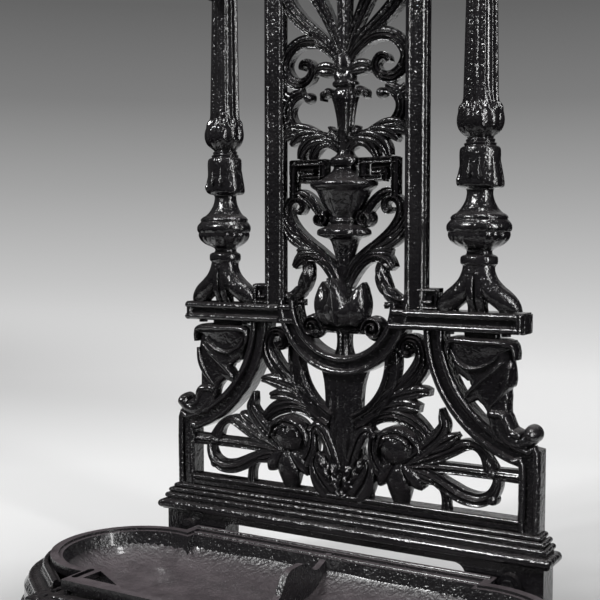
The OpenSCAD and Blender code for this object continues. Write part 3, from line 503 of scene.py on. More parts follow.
def pan_lining(shell):
    """Rings run in from the wall along lines to the pan's middle. A point's height is nearly a quarter ellipse of
    its distance from the wall, which falls from the step under the rim to the floor, with a faint ripple."""
    floor, step, reach = 32.5, 66.0, 46.0
    wall = pan_outline()
    inward = np.array([0.0, 0.4, 1.0, 2, 3.5, 5.5, 8, 11, 14.5, 18.5, 23, 28, 34, 41, 50, 60, 72])[:, None, None]
    away = wall / np.linalg.norm(wall, axis=1, keepdims=True)
    plan = wall[None] - inward * away[None]
    plan = np.concatenate([plan, plan[-1:] * np.array([0.86, 0.72, 0.58, 0.44, 0.3, 0.16])[:, None, None]])
    gap = np.sqrt(((plan[:, :, None] - wall[None, None, ::2]) ** 2).sum(-1).min(-1))
    share = np.clip(1 - gap / reach, 0, 1)
    height = floor + (step - floor) * (1 - np.sqrt(1 - share**1.6))
    ripple = 0.5 * np.sin(plan[..., 0] / 17) * np.sin(plan[..., 1] / 13 + 1) * share * (gap > 0.1)
    top = np.concatenate([plan, (height + ripple)[..., None]], axis=-1)
    foot = np.concatenate([wall, np.full((len(wall), 1), floor - 3)], axis=-1)
    shell.rings(np.concatenate([foot[None], top]) * MM)


def bars(shell):
    """One section follows both bars and the arch: a flat rear, plain sides, and a front whose height is two
    round-backed beads beside a hollow with a fine ridge on each slope. The fret blocks have six ridges each."""
    top = (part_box("centre_frame")[1].z - FOOT_M) / MM
    arch, outer, width, rear = top - 113.0, 111.5, 28.0, 12.0
    hollow, bead_at, bead_high, ridge_at, ridge_high = 11.5, 8.68, 2.6, 4.2, 0.8
    q = np.linspace(0, 1, 61)
    away = np.abs(q - 0.5) * width
    edge = np.sqrt(1 - (np.abs(q - 0.5) * 2) ** 14)
    front = hollow + bead_high * hump(away, bead_at, 2.0) + ridge_high * hump(away, ridge_at, 1.2)
    high = rear + front * (0.88 + 0.12 * edge)
    q, high = np.concatenate([q, [1, 0]]), np.concatenate([high, [rear, rear]])
    radius = (outer - width * (1 - q))[None, :]
    turn = np.linspace(0, np.pi, 73)[:, None]
    base, neck = 0 * radius + LEDGE_TOP, 0 * radius + arch - 1
    x = np.vstack([radius, radius, radius * np.cos(turn), -radius, -radius])
    y = np.vstack([base, neck, arch + radius * np.sin(turn), neck, base])
    shell.rings(world(x, y, high))
    for foot in (LEDGE_TOP, SHELF_Y - BLOCK):
        x0, x1, y0, y1 = BLOCK_X, BLOCK_X + BLOCK, foot, foot + BLOCK
        shell.both(world(np.array([x0, x1, x1, x0]), np.array([y0, y0, y1, y1]), np.array([[LOW], [LOW + 13]])))
        for ends in ([[x0, y1 - 2], [x1, y1 - 2]], [[x0, y0 + 2], [x1, y0 + 2]], [[x1 - 2.5, y0], [x1 - 2.5, y1]],
            [[x0 + 3, y0], [x0 + 3, y1]], [[x0 + 8, y0 + 9], [x1 - 8, y0 + 9]], [[x1 - 8, y0 + 8], [x1 - 8, y1 - 8]]):
            carve(shell, rounded, 17, np.hstack([ends, [[2.4, 18], [2.4, 18]]]), steps=2, edge=0.5)


def bead(shell, line, low):
    """Half an ellipse along a line of x and y, drawn from a height inside the casting."""
    sizes = np.full((len(line), 2), (BEAD, 8.0))
    carve(shell, rounded, 13, np.hstack([line, sizes]), low=low, steps=3, edge=0.05)


def bands(shell):
    """Beads edge the posts and shoulders, the loop and the ledge, whose ends are rounded."""
    panel, loop, ledge = 18.5, 20.5, 24.5
    for inset, foot in ((BEAD, 1), (BAND - BEAD, 14)):
        x, radius = POST_X - inset, SHOULDER_R + inset
        a = np.linspace(np.arccos((x - SHOULDER_X) / radius), np.pi + math.asin(5 / radius), 24)
        arc = np.column_stack([SHOULDER_X + radius * np.cos(a), SHOULDER_Y - radius * np.abs(np.sin(a))])
        bead(shell, np.vstack([[[x, foot]], arc]), panel)
    for radius in (LOOP_R + BEAD, LOOP_R + BAND - BEAD):
        a = np.linspace(np.pi / 2, 0, 20)
        bead(shell, np.column_stack([radius * np.sin(a), LOOP_Y - radius * np.cos(a)]), loop)
    for y in (LEDGE_TOP - 4.5, LEDGE_TOP - LEDGE_HIGH + 4.5):
        bead(shell, [[LOOP_R + BAND - 4, y], [150, y], [LEDGE_X - 1, y]], ledge)
    bead(shell, [[LEDGE_X - 4.5, LEDGE_TOP - 1], [LEDGE_X - 4.5, LEDGE_TOP - LEDGE_HIGH + 1]], ledge)
    end = [[LEDGE_X - 1, LEDGE_TOP - 1.5, 4, 20], [LEDGE_X - 1, LEDGE_TOP - LEDGE_HIGH + 1.5, 4, 20]]
    carve(shell, rounded, 25, end, low=4.0, steps=2, edge=0.1)


def sprays(shell):
    """The fluted trunk, the leaves at its foot, the beaded strips and the acanthus sprays."""
    carve(shell, ridged(5, 0.28), 57,
        [[0, 12, 40, 9], [0, 30, 37, 12], [0, 55, 30, 14], [0, 90, 26, 14], [0, 125, 25, 13], [0, 150, 27, 12],
        [0, 168, 32, 10]], mirrored=False)
    carve(shell, folded, 29,
        [[16, 12, 15, 14], [27, 26, 15, 18], [35, 40, 11, 20], [38, 52, 7, 19], [35, 62, 4, 16]],
        [[8, 44, 8, 16], [14, 62, 8, 17], [20, 78, 8, 18], [27, 91, 8, 19], [36, 96, 7, 18], [42, 88, 5, 16]])
    carve(shell, lobed(3, 0.2), 25,
        [[14, 26, 5, 18], [20, 42, 7, 20], [27, 54, 7, 21], [33, 63, 4, 18]],
        [[3, 14, 7, 17], [8, 30, 9, 19], [10, 48, 7, 19], [8, 62, 3, 16]])
    a = np.radians(np.linspace(-66, 8, 12))
    strip = np.column_stack([-17 + 84.5 * np.cos(a), 183 + 84.5 * np.sin(a), 0 * a + 10.5, 0 * a + 16])
    carve(shell, twin_bead, 33, strip, steps=4)
    carve(shell, ridged(3), 31,
        [[36, 117, 5, 11], [56, 134, 8, 13], [76, 149, 10, 14], [93, 164, 11, 15], [105, 181, 11, 16],
        [107, 197, 8.5, 17], [101, 209, 7, 18], [90, 212, 6, 18], [81, 205, 5.5, 18], [83, 195, 5, 18],
        [91, 193, 3.5, 18], [94, 199, 2, 18]])
    carve(shell, folded, 21,
        [[46, 126, 6, 12], [70, 139, 9, 14], [90, 146, 9, 16], [107, 150, 7, 17], [117, 149, 4, 16]],
        [[46, 120, 6, 12], [70, 129, 9, 14], [88, 132, 8, 16], [104, 129, 5, 16]])
    carve(shell, ridged(3), 31,
        [[20, 84, 5, 11], [30, 102, 8, 13], [48, 115, 9, 14], [70, 120, 10, 15], [92, 115, 10, 15], [109, 103, 8, 14],
        [123, 86, 6, 12]])
    shell.both(dome(88, 202, 6, 13))
    shell.both(dome(45, 91, 5, 17))


def rosette(shell):
    """A round bud under a crinkled rim, a leaf at its side and smooth petals that hang to the sill."""
    shell.both(dome(77, 66, 34, 13, ring=56, rows=12))
    shell.both(dome(75, 81, 25, 25, ring=64, rows=16))
    carve(shell, ruffled(9, 0.2), 17,
        [[49, 70, 3, 18], [52, 88, 5, 21], [65, 100, 5, 24], [79, 102, 5, 25], [93, 97, 5, 23], [102, 86, 4, 20],
        [105, 74, 3, 17]], steps=14)
    carve(shell, ruffled(8, 0.25), 15,
        [[57, 80, 2, 23], [62, 90, 4, 26], [75, 95, 4, 27], [88, 90, 4, 25], [95, 80, 2, 22]], steps=16)
    carve(shell, folded, 25, [[45, 97, 4, 14], [42, 82, 6, 17], [44, 66, 8, 18], [51, 52, 9, 18], [60, 40, 7, 14]])
    carve(shell, rounded, 25,
        [[79, 62, 7, 19], [78, 49, 13, 23], [77, 36, 16, 22], [77, 22, 13, 15], [77, 11, 9, 9]],
        [[85, 60, 6, 19], [95, 49, 10, 21], [103, 39, 9, 17], [108, 33, 4, 11]],
        [[70, 60, 7, 18], [60, 49, 10, 19], [53, 38, 8, 15], [50, 31, 3, 10]])


def ribbons(shell):
    """Leaves, ribbons and a bar that fan out from the flower's throat to the post."""
    carve(shell, ridged(2, 0.4), 25,
        [[84, 59, 5, 19], [110, 61, 7, 16], [140, 62, 7, 13], [185, 62, 7, 12], [228, 62, 8, 12]],
        [[86, 61, 4, 19], [108, 69, 7, 16], [128, 76, 8, 15], [146, 85, 8, 15], [161, 92, 7, 15], [173, 91, 5, 13],
        [184, 82, 6, 13], [192, 66, 9, 14]],
        [[88, 56, 4, 18], [108, 54, 7, 16], [126, 47, 8, 16], [144, 38, 9, 17], [162, 31, 9, 17], [180, 30, 8, 17],
        [193, 37, 7, 16], [199, 48, 6, 15], [200, 58, 5, 14]])
    carve(shell, folded, 19,
        [[84, 61, 4, 18], [100, 74, 8, 17], [114, 86, 10, 17], [127, 99, 9, 16], [134, 112, 7, 16], [132, 122, 5, 15],
        [130, 132, 2, 13]], [[112, 80, 6, 14], [130, 89, 8, 15], [143, 97, 7, 15], [152, 103, 3, 12]],
        [[92, 54, 3, 18], [108, 47, 5, 17], [122, 44, 4, 15]],
        [[122, 50, 6, 13], [131, 42, 6, 13], [136, 28, 5, 12], [137, 10, 6, 12]])
    for y in (32, 62):
        shell.both(dome(193, y, 8, 15))


def bracket_leg(shell):
    """The right leg: a draped body, folds and ruffles over it, and a clawed foot."""
    carve(shell, padded, 17, [[177, 226, 21, 12], [177, 214, 21, 12]], mirrored=False)
    carve(shell, padded, 49,
        [[180, 216, 38, 17], [180, 210, 40, 20], [180, 203, 40, 19], [182, 194, 38, 17], [187, 184, 33, 17],
        [191, 175, 28.5, 18], [192, 166, 27, 18], [193, 157, 23, 18], [197, 147, 18, 18], [200, 136, 14, 18],
        [202, 125, 13, 18], [205, 116, 14, 18], [210, 106, 18, 15]],
        [[158, 196, 15, 14], [154, 185, 9, 14], [151, 178, 5, 12], [150, 172, 1, 10]],
        [[194, 172, 12, 17], [181, 161, 11, 17], [168, 150, 8, 15], [158, 141, 2, 12]], mirrored=False)
    carve(shell, rounded, 13,
        [[140, 196, 3, 18], [139, 206, 4, 20], [146, 213, 5, 21], [180, 213, 5, 23], [212, 212, 5, 22],
        [219, 205, 4, 20], [220, 194, 3, 18]],
        [[144, 202, 3, 18], [150, 192, 4, 20], [160, 184, 4, 22], [172, 182, 3, 22], [184, 185, 3, 22],
        [195, 192, 3, 21], [201, 200, 2, 19]],
        [[207, 192, 4, 20], [194, 180, 5, 22], [180, 168, 5, 21], [168, 156, 4, 18], [160, 146, 2, 15]],
        [[214, 186, 4, 20], [212, 170, 5, 21], [206, 156, 5, 21], [198, 146, 4, 20], [191, 138, 3, 18]],
        mirrored=False)
    carve(shell, ruffled(5, 0.2), 17,
        [[190, 130, 5, 19], [199, 133, 6, 22], [208, 131, 6, 23], [213, 122, 6, 23], [219, 113, 6, 23],
        [229, 109, 5, 21]], mirrored=False)
    shell.rings(dome(240, 112, 10.5, 22, ring=40, rows=12))
    carve(shell, rounded, 29,
        [[205, 130, 9, 18], [207, 116, 11, 20], [213, 106, 11, 20], [225, 102, 9, 20], [236, 106, 9, 21],
        [241, 112, 8, 22]], [[196, 118, 8, 17], [204, 106, 9, 18], [216, 100, 7, 17]], mirrored=False)


def column_wave(v, a):
    """Radius factor of the column: reeds on the shaft, gadroons on the ball, petal tips above it and a collar that
    flares into lobes at its foot."""
    reeded = (v > 237) & (v < 466)
    shaft = reeded * 0.1 * (np.cos(6 * a) ** 2) ** 1.6
    ball = hump(v, 212, 16, 4) * 0.09 * (np.abs(np.cos(5 * a)) - 0.6)
    tips = hump(v, 232, 5) * 0.16 * (np.cos(7 * a) ** 2 - 0.4)
    collar = hump(v, 146, 9) * (0.16 * np.cos(a) ** 4 - 0.06)
    vase = hump(v, 84, 9, 4) * 0.035 * np.cos(9 * a) ** 2
    return 1 - reeded * 0.1 + shaft + ball + tips + collar + vase


def column(sign, shell):
    """A half-round column on claws: vase, draped collar with its folds, gadrooned ball, reeded shaft and capital."""
    profile = [
        [19, 44], [18.5, 50], [20, 53], [21.5, 54.5], [22, 58], [21.5, 62], [19, 64], [15.5, 65.5], [15, 69],
        [18, 71.5], [26, 75], [32, 80], [35, 86], [35, 90], [36.5, 91.5], [38, 95], [37.5, 99], [34.5, 103],
        [33, 104.5], [33.5, 107], [31, 110], [26, 113], [21.5, 118], [17.5, 125], [15.5, 132], [15.5, 138.5],
        [21, 140.5], [24.5, 143], [25.5, 147], [24.5, 154], [23.8, 166], [24, 180], [22.5, 185.5], [18.5, 187.5],
        [19, 190], [16.5, 191.5], [17, 194], [15, 196], [18, 199], [23.5, 204], [26.5, 211], [26.8, 219], [25, 227],
        [22.5, 233], [20.5, 237], [20.5, 242], [19, 320], [17.5, 400], [16.5, 464], [19, 468], [21, 471], [21, 474],
        [18, 477], [18.5, 485], [21, 491], [26, 495], [27.5, 497], [27.5, 504]]
    legs = [[0, 52, 13, 21], [0, 34, 13, 23], [0, 16, 11, 22], [0, 6, 10, 17], [0, 0, 11, 13]]
    side = [[4, 52, 13, 20], [6, 42, 13, 21], [12, 31, 12, 22], [21, 21, 12, 23], [31, 13, 12, 21], [37, 6, 12, 17],
        [38, 0, 13, 13]]
    folds = (19, 174, 139, 9, 20), (-20, 166, 143, 6, 16), (7, 176, 148, 4, 27), (-5, 170, 150, 4, 28)
    rear = (REAR_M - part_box("right_column")[1].y) / MM
    foot = [sign * COLUMN_X, LEDGE_TOP, 0, 0]
    shell.rings(turned(profile, column_wave, *foot[:2], rear + 2, 4, 91, 2))
    for mirror in (-1, 1):
        shell.rings(stroke(np.array(side) * [mirror, 1, 1, 1] + foot, rounded, 29, rear))
    shell.rings(stroke(np.array(legs) + foot, folded, 21, rear))
    for x, top, end, half, high in folds:
        rows = [[x, top, half * 0.4, high - 3], [x, (top + end) / 2, half * 0.8, high], [x, end + 6, half, high + 2],
            [x, end + 1, half * 0.8, high - 1], [x, end, 1, high - 8]]
        shell.rings(stroke(np.array(rows) + foot, rounded, 21, rear))


def lotus(shell):
    """A cup of smooth petals, the middle one curling forward, over a cross stem that ends in coiled discs."""
    cup = [[8, 220], [19, 223], [27, 229], [32, 238], [32, 246], [27, 252], [17, 256], [8, 257]]
    shell.rings(turned(cup, lambda v, a: 0.9 + 0.1 * np.abs(np.cos(3 * a)) ** 0.5, 0, 0, 10, 3, 61))
    carve(shell, rounded, 29,
        [[15, 226, 9, 19], [20, 238, 14, 27], [22.5, 250, 14.5, 28], [24.5, 261, 11.5, 25], [26.5, 269, 7, 20],
        [27.5, 274.5, 3, 15], [28, 277, 0.8, 11]], low=10)
    carve(shell, rounded, 33,
        [[0, 224, 11, 20], [-1, 240, 15, 32], [-1, 254, 14, 34], [-2, 266, 10, 33], [-4, 274, 6, 32],
        [-7, 280, 3, 29]], low=10, mirrored=False)
    carve(shell, rounded, 17,
        [[0, 228, 2, 33], [-1, 250, 2.4, 36.5], [-3, 268, 2, 35]],
        [[-4, 272, 3, 34], [-9, 277, 4, 33], [-11, 282, 2, 30]], low=10, mirrored=False)
    shell.both(dome(42, 221, 16, 9, rows=12))
    carve(shell, rounded, 11, spiral(42, 221, 14, 4, 180, -560, 3.2, 18), steps=5)
    shell.both(dome(42, 221, 5, 16))
    carve(shell, ridged(2), 17, [[0, 220, 6, 15], [30, 220, 6, 15]])
    carve(shell, ridged(3), 25,
        [[0, 222, 13, 14], [0, 212, 9, 13], [0, 198, 9, 13], [0, 188, 12, 13], [0, 182, 16, 12]], mirrored=False)


def urn(shell):
    """The urn is half round: flutes on its bowl, a rim bead, a domed lid and a reeded neck."""
    profile = [
        [7, 270], [9, 284], [11, 300], [14, 314], [19, 328], [26, 331], [33, 334], [34, 338], [32, 341.5],
        [24, 345], [18.5, 347.5], [20.5, 351], [18, 355], [19.5, 359], [24, 365], [28, 372], [32, 380.5],
        [36, 387.5], [41, 391], [43.5, 394], [43, 398], [37, 400], [30, 402], [25.5, 405], [20, 409], [16, 413.5],
        [15, 417], [18.5, 418.5], [19.5, 423], [18, 427.5], [12.5, 431], [10, 437], [9.5, 456], [11, 475],
        [14.5, 492], [17, 500], [15.5, 508], [12, 512], [16, 515], [16.5, 518.5], [13, 522], [10, 526]]

    def wave(v, a):
        bowl = hump(v, 373, 13, 4) * 0.05 * (np.abs(np.cos(6 * a)) - 0.5)
        stem = hump(v, 300, 26, 4) * 0.1 * (np.abs(np.cos(4 * a)) - 0.5)
        neck = hump(v, 468, 32, 4) * 0.12 * (np.abs(np.cos(5 * a)) - 0.5)
        calyx = hump(v, 336, 7, 4) * 0.14 * (np.abs(np.cos(2.5 * a)) - 0.7)
        return 1 + bowl + stem + neck + calyx

    shell.rings(turned(profile, wave, 0, 0, 12, 4, 73, 4))


def fret(shell):
    """Square key frets beside the lid: bevelled bars that turn inwards."""
    key = [[[24, 423], [72, 423]], [[70, 426], [70, 380]], [[27, 424], [27, 400]], [[26, 402], [57, 402]],
        [[57, 400], [57, 413]], [[58, 411], [40, 411]]]
    for (x0, y0), (x1, y1) in key:
        carve(shell, twin_bead, 17, [[x0, y0, 4.2, 17], [x1, y1, 4.2, 17]], steps=2, edge=0.6)
    carve(shell, rounded, 17, [[36, 416, 6, 8], [66, 416, 6, 8]], [[36, 407, 5, 8], [66, 407, 5, 8]])


def scrolls(shell):
    """The scrolls beside and above the urn, with their leaf tips, knobs and coils."""
    carve(shell, ridged(2, 0.5), 31,
        [[72, 385, 4, 14], [58, 385, 6, 15], [46, 378, 6, 16], [37, 368, 6, 17], [29, 357, 5, 17]],
        [[5, 280, 4, 13], [14, 297, 6, 15], [30, 312, 6, 16], [49, 326, 5.5, 16], [65, 340, 5.5, 16],
        [76, 355, 6, 16], [78, 369, 6, 16], [71, 378, 5.5, 16], [61, 378, 5, 16], [56, 370, 4.5, 16],
        [60, 363, 4, 17], [67, 365, 2.5, 17]],
        [[8, 270, 4, 14], [17, 289, 6.5, 15], [30, 303, 6.5, 15], [46, 309, 7, 16], [59, 305, 8, 16],
        [69, 294, 4, 15]])
    carve(shell, lobed(3, 0.2), 25,
        [[54, 306, 5, 14], [51, 290, 9, 17], [55, 275, 9, 18], [62, 264, 9, 17], [73, 258, 7, 15], [86, 256, 6, 13]])
    carve(shell, folded, 17,
        [[38, 315, 3, 14], [56, 321, 6, 16], [72, 331, 7, 16], [84, 345, 4, 13]],
        [[58, 331, 3, 14], [74, 340, 5, 16], [84, 354, 4, 14]],
        [[36, 314, 4, 13], [54, 315, 6, 15], [65, 313, 4, 13]],
        [[66, 262, 6, 13], [70, 254, 7, 13], [71, 247, 8, 13]],
        [[58, 462, 5, 14], [72, 461, 8, 15], [84, 458, 8, 13]], [[72, 499, 6, 14], [84, 506, 8, 13]])
    carve(shell, ridged(3), 31,
        [[4, 450, 4, 13], [30, 455, 6, 14], [50, 458, 7, 15], [67, 465, 8, 16], [77, 478, 8, 17], [78, 492, 8, 17],
        [70, 504, 8, 17], [57, 509, 6, 16]])
    carve(shell, lobed(3), 17,
        [[6, 446, 4, 15], [14, 456, 6, 18], [19, 466, 2, 15]],
        [[8, 499, 4, 16], [20, 507, 6, 18], [28, 505, 5, 17], [30, 498, 3, 14]])
    carve(shell, folded, 21,
        [[6, 438, 5, 14], [18, 447, 7, 16], [31, 446, 7, 17], [40, 437, 6, 16], [45, 427, 4, 14]],
        [[10, 444, 4, 14], [28, 452, 7, 17], [44, 450, 8, 18], [56, 440, 7, 17], [61, 428, 4, 14]],
        [[22, 452, 3, 14], [42, 458, 6, 16], [60, 456, 7, 17], [74, 446, 3, 14]],
        [[36, 460, 3, 14], [56, 466, 6, 16], [72, 466, 6, 16], [86, 458, 4, 14]])
    for x, y, r, rise in ((31, 354, 11, 13), (50, 503, 7, 15)):
        shell.both(dome(x, y, r, rise))
    carve(shell, rounded, 11, spiral(31, 354, 10, 3, 120, 500, 2.6, 18), steps=5)
    carve(shell, ridged(2), 11, [[56, 250, 4, 12], [86, 250, 4, 12]])


def fronds(shell):
    """Coiled lower leaves, reeded fronds, and a middle stem with its bud."""
    carve(shell, ridged(3), 31,
        [[8, 546, 5, 14], [22, 561, 7, 15], [40, 571, 8, 16], [60, 571, 8, 16], [76, 561, 8, 16], [84, 545, 8, 16],
        [78, 529, 8, 16], [64, 521, 7, 16], [50, 524, 6, 17], [43, 535, 5, 17], [48, 545, 5, 17], [57, 545, 4, 17],
        [60, 538, 3, 16]],
        [[8, 551, 5, 13], [24, 568, 7, 15], [42, 583, 8, 16], [60, 598, 9, 16], [74, 614, 9, 16], [82, 631, 9, 16],
        [83, 648, 7, 16], [76, 661, 6, 16], [64, 662, 6, 15]],
        [[4, 555, 4, 13], [12, 576, 6, 15], [20, 593, 7, 15], [30, 612, 8, 16], [43, 633, 9, 16], [55, 653, 9, 16],
        [61, 672, 8, 16], [57, 687, 7, 16], [46, 690, 6, 15]],
        [[2, 700, 5, 13], [20, 716, 7, 15], [42, 735, 8, 16], [62, 757, 9, 16], [76, 782, 9, 16], [74, 806, 8, 16],
        [62, 820, 8, 16], [44, 820, 7, 15]])
    carve(shell, folded, 21,
        [[6, 530, 5, 14], [20, 535, 9, 17], [32, 535, 8, 17], [39, 530, 3, 14]],
        [[2, 812, 6, 13], [16, 814, 7, 15], [34, 822, 7, 15], [48, 834, 7, 14], [59, 848, 7, 12]])
    carve(shell, ridged(2, 0.35), 25,
        [[0, 548, 6, 13], [0, 600, 8, 14], [0, 640, 10, 15], [0, 680, 11, 16], [0, 705, 8, 16], [0, 724, 2, 14]],
        [[0, 862, 11, 12], [0, 836, 12, 14], [0, 812, 9, 15], [0, 788, 1, 13]], mirrored=False)
    carve(shell, lobed(2, 0.1), 25,
        [[0, 520, 12, 18], [0, 532, 14, 21], [0, 545, 11, 23], [0, 555, 5, 22], [0, 560, 1, 18]], mirrored=False)
    for x, y, r, rise in ((64, 662, 8, 17), (46, 690, 8, 17), (44, 820, 9, 17)):
        shell.both(dome(x, y, r, rise))


def crest(shell):
    """Five leaves that fan out from the arch's top."""
    foot, top = ((corner.z - FOOT_M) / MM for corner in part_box("arch_crest"))
    y = top - 66
    carve(shell, lobed(4), 25,
        [[6, y, 8, 14], [16, y + 22, 9, 15], [27, y + 40, 8, 16], [34, y + 52, 3, 13]],
        [[8, y - 2, 7, 14], [28, y + 12, 9, 15], [45, y + 24, 8, 16], [54, y + 34, 3, 13]],
        [[10, y - 4, 7, 14], [34, y + 2, 9, 15], [56, y - 2, 8, 16], [68, y - 16, 7, 15],
        [80, max(y - 28, foot + 4), 5, 13]])
    carve(shell, lobed(5), 33,
        [[0, y - 4, 16, 15], [0, y + 14, 14, 17], [0, y + 40, 11, 17], [0, y + 58, 5, 15], [0, y + 65, 1, 12]],
        mirrored=False)


def finial(side, sign, shell):
    """A moulded foot, a gadrooned bulb and a spire."""
    profile = [
        [22, 0], [22, 5], [19, 7], [13, 9], [9, 13], [9, 18], [14, 21], [14, 24], [9, 27], [9, 30], [17, 34],
        [21, 42], [22, 51], [21, 60], [17, 68], [9.5, 72.5], [12, 76], [8.5, 81], [6, 92], [3, 103], [1.5, 107.5]]

    def wave(v, a):
        return 1 + hump(v, 51, 17, 4) * 0.09 * (np.abs(np.cos(5 * a)) - 0.5)

    low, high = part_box(f"{side}_finial")
    y, rear = (low.z - FOOT_M) / MM, (REAR_M - high.y) / MM
    shell.rings(turned(profile, wave, sign * COLUMN_X, y, rear, 5, 61))


# ---- operators ----


class STAND_OT_castings(bpy.types.Operator):
    """Finishes the plinth, the pan, the frames and the fixings."""

    bl_idname = "stand.castings"
    bl_label = "Castings"

    def execute(self, context):
        fixings = ["rail_nuts", "base_bolts", "base_nuts", "column_screws", "finial_studs", "crest_stud"]
        keys = {**dict.fromkeys(fixings, "fixing"), "drip_pan": "pan"}
        for name, node in frame["nodes"].items():
            node.data.materials.clear()
            node.data.materials.append(finish_of(keys.get(name, "iron")))
        return {"FINISHED"}


class Casting:
    """What the other pieces' operators share: parts fill a shell, which becomes a piece that stands for its nodes."""

    finish, slot, body = "iron", "iron", "stand"

    def execute(self, context):
        for name, nodes, *parts in self.pieces:
            shell = Shell()
            for part in parts:
                part(shell)
            settle(shell.build(name, self.finish), self.slot, *nodes, body=self.body)
        return {"FINISHED"}


class STAND_OT_pan_lining(Casting, bpy.types.Operator):
    """Rounds the pan's leaning walls into its floor with a broad cove."""

    bl_idname = "stand.pan_lining"
    bl_label = "Pan Lining"
    finish, slot, body = "pan", "pan_iron", "pan"
    pieces = [("drip_pan_lining", [], pan_lining)]


class STAND_OT_centre_frame(Casting, bpy.types.Operator):
    """Builds the beaded bars that rise from the ledge and join in an arch, with their fret blocks."""

    bl_idname = "stand.centre_frame"
    bl_label = "Centre Frame"
    pieces = [("centre_frame_mouldings", ["centre_frame"], bars)]


class STAND_OT_bands(Casting, bpy.types.Operator):
    """Builds the heavy beads that edge the lower panel's bands, the ledge and the hanging loop."""

    bl_idname = "stand.bands"
    bl_label = "Bands"
    pieces = [("lower_frame_beads", [], bands)]


class STAND_OT_lower_panel(Casting, bpy.types.Operator):
    """Builds the pierced carving of the lower panel: fluted trunk, beaded strips, leaf sprays, rosettes and ribbons."""

    bl_idname = "stand.lower_panel"
    bl_label = "Lower Panel"
    pieces = [("lower_scrollwork_carving", ["lower_scrollwork"], sprays, rosette, ribbons)]


class STAND_OT_bracket_legs(Casting, bpy.types.Operator):
    """Builds the draped paw legs that carry the ledge's ends over the shoulders."""

    bl_idname = "stand.bracket_legs"
    bl_label = "Bracket Legs"
    pieces = [
        ("right_bracket_leg_carving", ["right_bracket_leg"], bracket_leg),
        ("left_bracket_leg_carving", ["left_bracket_leg"], bracket_leg, Shell.flip)]


class STAND_OT_columns(Casting, bpy.types.Operator):
    """Builds the half-round columns: claws, vase, draped collar, gadrooned ball, fluted shaft and capital."""

    bl_idname = "stand.columns"
    bl_label = "Columns"
    pieces = [(f"{side}_column_turned", [f"{side}_column"], lambda shell, sign=sign: column(sign, shell))
              for side, sign in SIDES]


class STAND_OT_centre_ornament(Casting, bpy.types.Operator):
    """Builds the ornament between the bars: lotus cup, fluted urn, key frets and the scrolls around them."""

    bl_idname = "stand.centre_ornament"
    bl_label = "Centre Ornament"
    pieces = [("urn_ornament_carving", ["urn_ornament"], lotus, urn, fret, scrolls)]


class STAND_OT_palmette(Casting, bpy.types.Operator):
    """Builds the palmette above the urn: coiled lower leaves, reeded fronds and a middle stem with its bud."""

    bl_idname = "stand.palmette"
    bl_label = "Palmette"
    pieces = [("palmette_carving", ["palmette_ornament"], fronds)]


class STAND_OT_crown(Casting, bpy.types.Operator):
    """Builds the leaf crest on the arch and the two finials."""

    bl_idname = "stand.crown"
    bl_label = "Crest and Finials"
    pieces = [("arch_crest_carving", ["arch_crest"], crest)] + [
        (f"{side}_finial_turned", [f"{side}_finial"], lambda shell, at=(side, sign): finial(*at, shell))
        for side, sign in SIDES]


# Painted light and shade of the paper along a ramp of its slope from the camera's eye, where 0 is 0.35 down and 1 is
# 0.24 up.
RAMP_SLOPE, RAMP_LEVEL = 1.7, 0.6
PAINTED_PAPER_LIGHT = ((0.0, 0.34), (0.09, 0.62), (0.23, 0.8), (0.38, 0.78), (0.53, 0.55), (0.68, 0.36), (0.82, 0.205), (0.97, 0.127))


